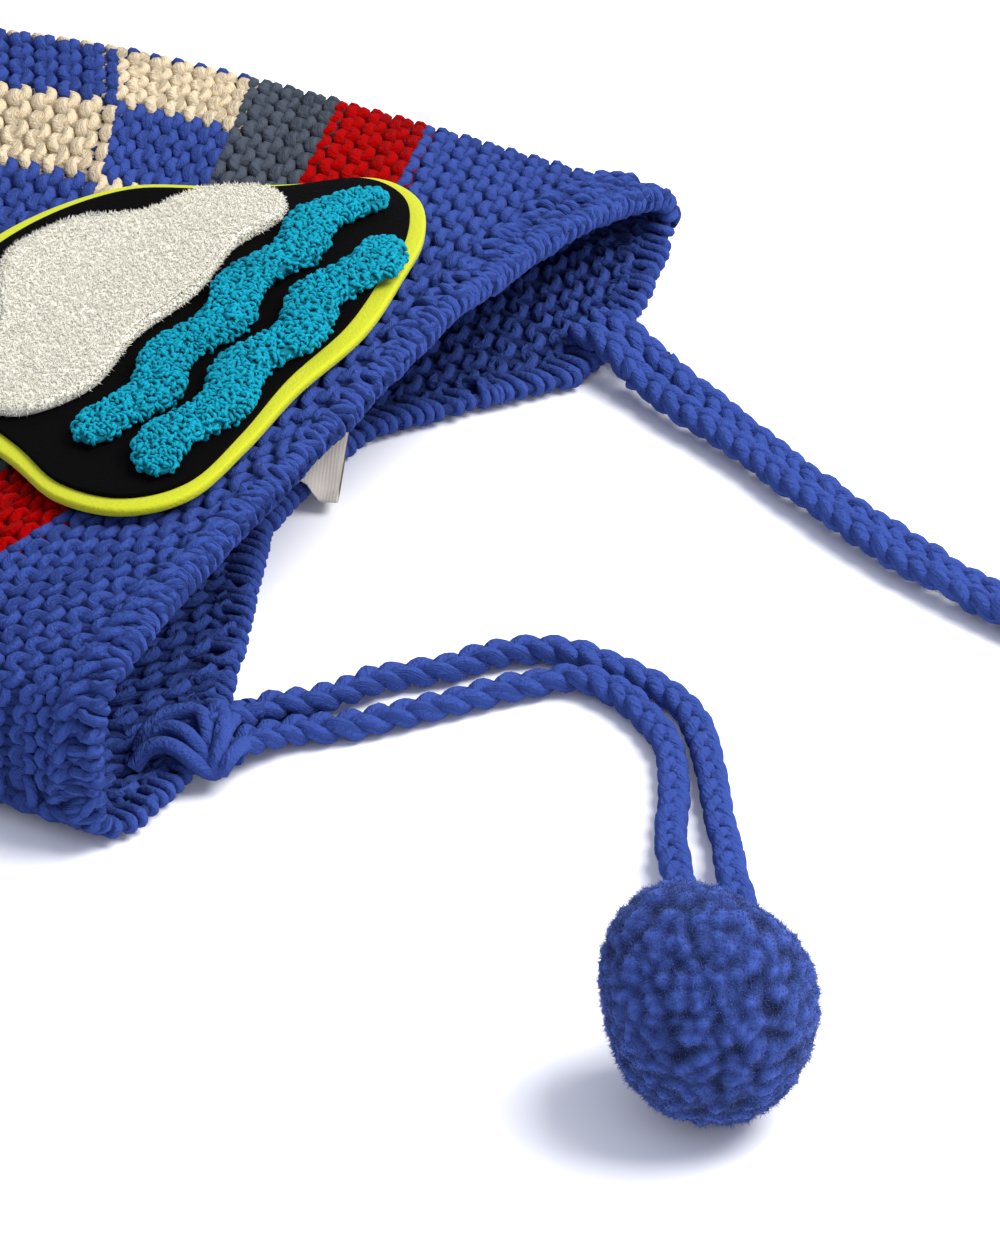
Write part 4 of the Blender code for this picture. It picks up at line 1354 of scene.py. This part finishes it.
def pompom(node, tree, material):
    """Grows the yarn ends on a ball a little smaller than the pompom's outer form."""
    low, high = [np.array(corner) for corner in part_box(node)]
    centre = (low + high) / 2
    half_sizes = (high - low) / 2 - POMPOM_PILE * MM
    shape = bmesh.new()
    bmesh.ops.create_icosphere(shape, subdivisions=6, radius=1.0)
    for vertex in shape.verts:
        way = vertex.co.normalized()
        reach = 1.0
        for cut, amount, width in POMPOM_CUTS:
            reach += amount * math.exp((way.dot(mathutils.Vector(cut)) - 1.0) / width**2)
        vertex.co = [centre[axis] + way[axis] * half_sizes[axis] * reach for axis in range(3)]
        vertex.co.z = max(vertex.co.z, POMPOM_PILE * MM)
    mesh = bpy.data.meshes.new(node + "_yarn")
    shape.to_mesh(mesh)
    shape.free()
    mesh.materials.append(material)
    ball = new_object(node + "_yarn", mesh)
    grow(ball, tree, {**YARN_ENDS, "Material": material})
    keep(ball, node)
    return ball


# The tag


def tag():
    """A folded woven tape that lies level inside the hat and bends down past its edge."""
    turn = math.radians(TAG_TURN)
    radius = TAG_THICK / 2
    ends = radius * np.sin(np.linspace(0.0, math.pi / 2, 5)[1:])
    flat = np.linspace(TAG_THICK, TAG_LENGTH - TAG_THICK, 17)
    along = np.concatenate([radius - ends[::-1], flat, TAG_LENGTH - radius + ends])
    around = np.linspace(0.0, 2 * math.pi, 28, endpoint=False)
    across = squared(np.cos(around), 0.3) * TAG_WIDTH / 2
    rings = []
    for distance in along:
        to_end = max(radius - min(distance, TAG_LENGTH - distance), 0.0)
        up = squared(np.sin(around), 0.6) * math.sqrt(max(radius**2 - to_end**2, 0.01))
        x = TAG_END[0] + across * math.cos(turn) - distance * math.sin(turn)
        y = TAG_END[1] + across * math.sin(turn) + distance * math.cos(turn)
        past = np.maximum(np.interp(x, column(BACK_EDGE, 0), column(BACK_EDGE, 1)) - y, 0.0)
        rings.append(np.stack([x, y, TAG_HEIGHT - TAG_FALL * smooth_step(past / TAG_FALL_RUN) + up], axis=1))
    ends = [rings[0].mean(axis=0), rings[-1].mean(axis=0)]
    obj = closed_rings("back_tag_tape", rings, ends, tape_material())
    values = {
        "tape_along": np.concatenate([[0.0], np.repeat(along, len(around)), [TAG_LENGTH]]),
        "tape_across": np.concatenate([[0.0], np.tile(across, len(along)), [0.0]]),
    }
    for key, numbers in values.items():
        obj.data.attributes.new(key, "FLOAT", "POINT").data.foreach_set("value", numbers.astype(np.float32))
    keep(obj, "back_tag")


# The patch


def rounded_outline(points, centre, inset=0.0):
    """A smooth closed outline through a few points, drawn in towards its centre by an inset."""
    corners = np.array(points, float)
    outward = smooth_line(np.concatenate([corners[-1:], corners, corners[:2]]), 10) - centre
    return centre + outward * (1.0 - inset / np.linalg.norm(outward, axis=1, keepdims=True))


def on_front(plan, lift):
    """Places over the hat's front skin, lifted square to it."""
    x, y = np.asarray(plan, float).T
    step = 0.5
    flat_y = y - RIM_SKEW * x / HALF_WIDTH
    height = skin_height(x, flat_y)[0]
    slope_x = (skin_height(x + step, flat_y)[0] - skin_height(x - step, flat_y)[0]) / (2 * step)
    slope_y = (skin_height(x, flat_y + step)[0] - skin_height(x, flat_y - step)[0]) / (2 * step)
    normal = unit(np.stack([-slope_x, -slope_y, np.ones_like(x)], axis=1))
    return np.stack([x, y, height], axis=1) + normal * np.reshape(lift, (-1, 1))


def layer(name, outline, centre, lift, thickness, edge, material):
    """A layer on the front with a rounded edge, from its under side's middle to its upper side's."""
    outward = outline - centre
    reach = np.linalg.norm(outward, axis=1, keepdims=True)
    steps = [(share, 0.0, 0.0) for share in (0.3, 0.6, 0.85)]
    for turn in np.radians(np.linspace(-90.0, 90.0, 9)):
        middle = edge if turn < 0 else thickness - edge
        steps.append((1.0, edge * (1.0 - math.cos(turn)), middle + edge * math.sin(turn)))
    steps += [(share, 0.0, thickness) for share in (0.96, 0.92, 0.85, 0.75, 0.6, 0.45, 0.3, 0.15)]
    rings = []
    for share, inset, rise in steps:
        plan = centre + outward * np.minimum(share, 1.0 - inset / reach)
        rings.append(on_front(plan, np.full(len(plan), lift + rise)))
    ends = [on_front([centre], [lift + rise])[0] for rise in (0.0, thickness)]
    return closed_rings(name, rings, ends, material)


def bar(name, start_x, end_x, middle_y, rise, lift, material):
    """A raised wavy bar with round sides and ends, as rings along its length."""
    middle = lift + BAR_HALF_HEIGHT

    def middle_line(x):
        return middle_y + rise * (x - start_x) + WAVE_HEIGHT * math.sin(2 * math.pi * x / WAVE_LENGTH)

    turn = np.linspace(0.0, 2 * math.pi, 20, endpoint=False)
    rings = []
    for share in np.sin(np.linspace(-1.0, 1.0, 61)[1:-1] * math.pi / 2.0):
        x = (start_x + end_x) / 2 + share * (end_x - start_x) / 2
        size = (1.0 - abs(share) ** 14) ** 0.5
        side = squared(np.cos(turn), 0.6) * WAVE_HALF_WIDTH * size
        up = squared(np.sin(turn), 0.6) * BAR_HALF_HEIGHT * max(size, 0.4)
        plan = np.stack([np.full(len(turn), x), middle_line(x) + side], axis=1)
        rings.append(on_front(plan, middle + up))
    ends = [on_front([(x, middle_line(x))], [middle])[0] for x in (start_x, end_x)]
    return closed_rings(name, rings, ends, material)


def patch():
    """Felt base, black backing, white plush cloud and two teal chenille waves."""
    yellow = felt_material("pressed wool felt, yellow", YELLOW, 0.1)
    black = felt_material("pressed wool felt, black", BLACK, 0.0)
    # The piles' root and tip shares paint shade at the roots and light at the tips
    white = pile_material("cut plush pile, white", WHITE, 0.93, 1.0, 0.95, 0.1)
    teal = pile_material("chenille yarn, teal", TEAL, 0.25, 1.15, 0.8, 0.1)
    felt = rounded_outline(FELT_OUTLINE, PATCH_CENTRE)
    felt = layer("patch_felt_layer", felt, PATCH_CENTRE, LAYER_GAP, FELT_THICK, FELT_EDGE, yellow)
    keep(felt, "patch_felt")
    lift = LAYER_GAP + FELT_THICK
    backing = rounded_outline(FELT_OUTLINE, PATCH_CENTRE, inset=BACKING_INSET)
    backing = layer("patch_backing_layer", backing, PATCH_CENTRE, lift, BACKING_THICK, BACKING_EDGE, black)
    keep(backing, "patch_backing")
    lift += BACKING_THICK
    cloud = rounded_outline(CLOUD_OUTLINE, CLOUD_CENTRE)
    cloud = layer("patch_cloud_plush", cloud, CLOUD_CENTRE, lift, CLOUD_BASE, CLOUD_EDGE, white)
    grow(cloud, plush_tree(), {**PLUSH, "Material": white})
    keep(cloud, "patch_cloud")
    loops = chenille_tree()
    for name, start_x, end_x, middle_y, rise in WAVES:
        wave = bar(name + "_loops", start_x, end_x, middle_y, rise, lift, teal)
        grow(wave, loops, {**CHENILLE, "Material": teal})
        keep(wave, name)


# Floor, light and camera


def table():
    """A plain pale table, just below what lies on it."""
    corners = [(TABLE_HALF * x, TABLE_HALF * y, 0) for x, y in ((-1, -1), (1, -1), (1, 1), (-1, 1))]
    mesh = bpy.data.meshes.new("floor")
    mesh.from_pydata(corners, [], [(0, 1, 2, 3)])
    material, _, _ = new_material("matt white table", Base_Color=linear(TABLE_COLOUR), Roughness=0.8)
    mesh.materials.append(material)
    obj = new_object("floor", mesh)
    obj.location.z = -0.0001


def light():
    """A white room, and two soft lamps that look at the hat."""
    world = bpy.data.worlds.new("white room")
    bpy.context.scene.world = world
    world.use_nodes = True
    room = world.node_tree.nodes["Background"].inputs
    room["Color"].default_value = linear(ROOM_COLOUR)
    room["Strength"].default_value = ROOM_LIGHT
    bpy.context.scene.view_settings.view_transform = "Standard"
    for name, power, size, place in LAMPS:
        lamp = bpy.data.lights.new(name, "AREA")
        lamp.energy = power
        lamp.size = size
        obj = new_object(name, lamp)
        obj.location = place
        obj.rotation_euler = mathutils.Vector(place).to_track_quat("Z", "Y").to_euler()


def camera():
    """The photograph's own angle and frame."""
    data = bpy.data.cameras.new("camera")
    data.lens = LENS
    data.sensor_width = 36.0
    data.clip_end = 20.0
    obj = new_object("camera", data)
    turn = math.radians(CAMERA_TURN)
    height = math.radians(CAMERA_HEIGHT)
    back = np.array([math.sin(turn) * math.cos(height), -math.cos(turn) * math.cos(height), math.sin(height)])
    obj.location = to_world(np.array(LOOK_AT) + CAMERA_DISTANCE * back)
    obj.rotation_euler = (math.pi / 2 - height, 0.0, turn)
    bpy.context.scene.camera = obj


def main():
    """Builds the room and the hat."""
    camera()
    table()
    light()
    skin = Skin()
    yarns = {}
    for name, (colour, dive_shade, _) in YARNS.items():
        yarns[name] = yarn_material(f"acrylic yarn, {name}", colour, dive_shade)
    blue = yarns["blue"]
    knitted_yarn(skin, yarns)
    knitted_core(skin)
    strands = strand_tree()
    edging(skin, strands, blue)
    patch()
    # The yarn ends' root and tip shares paint shade deep in the ball and light at the tips
    ends = pile_material("acrylic yarn ends, blue", BLUE, 0.18, 1.32, 0.95, 0.8)
    tufts = pompom_tree()
    balls = {side: pompom("pompom_" + side, tufts, ends) for side in ("near", "far")}
    plait = plait_tree()
    for name, route, side in TIES:
        tie_cord(name, route, plait, blue)
    knots(strands, plait, blue)
    tag()


main()
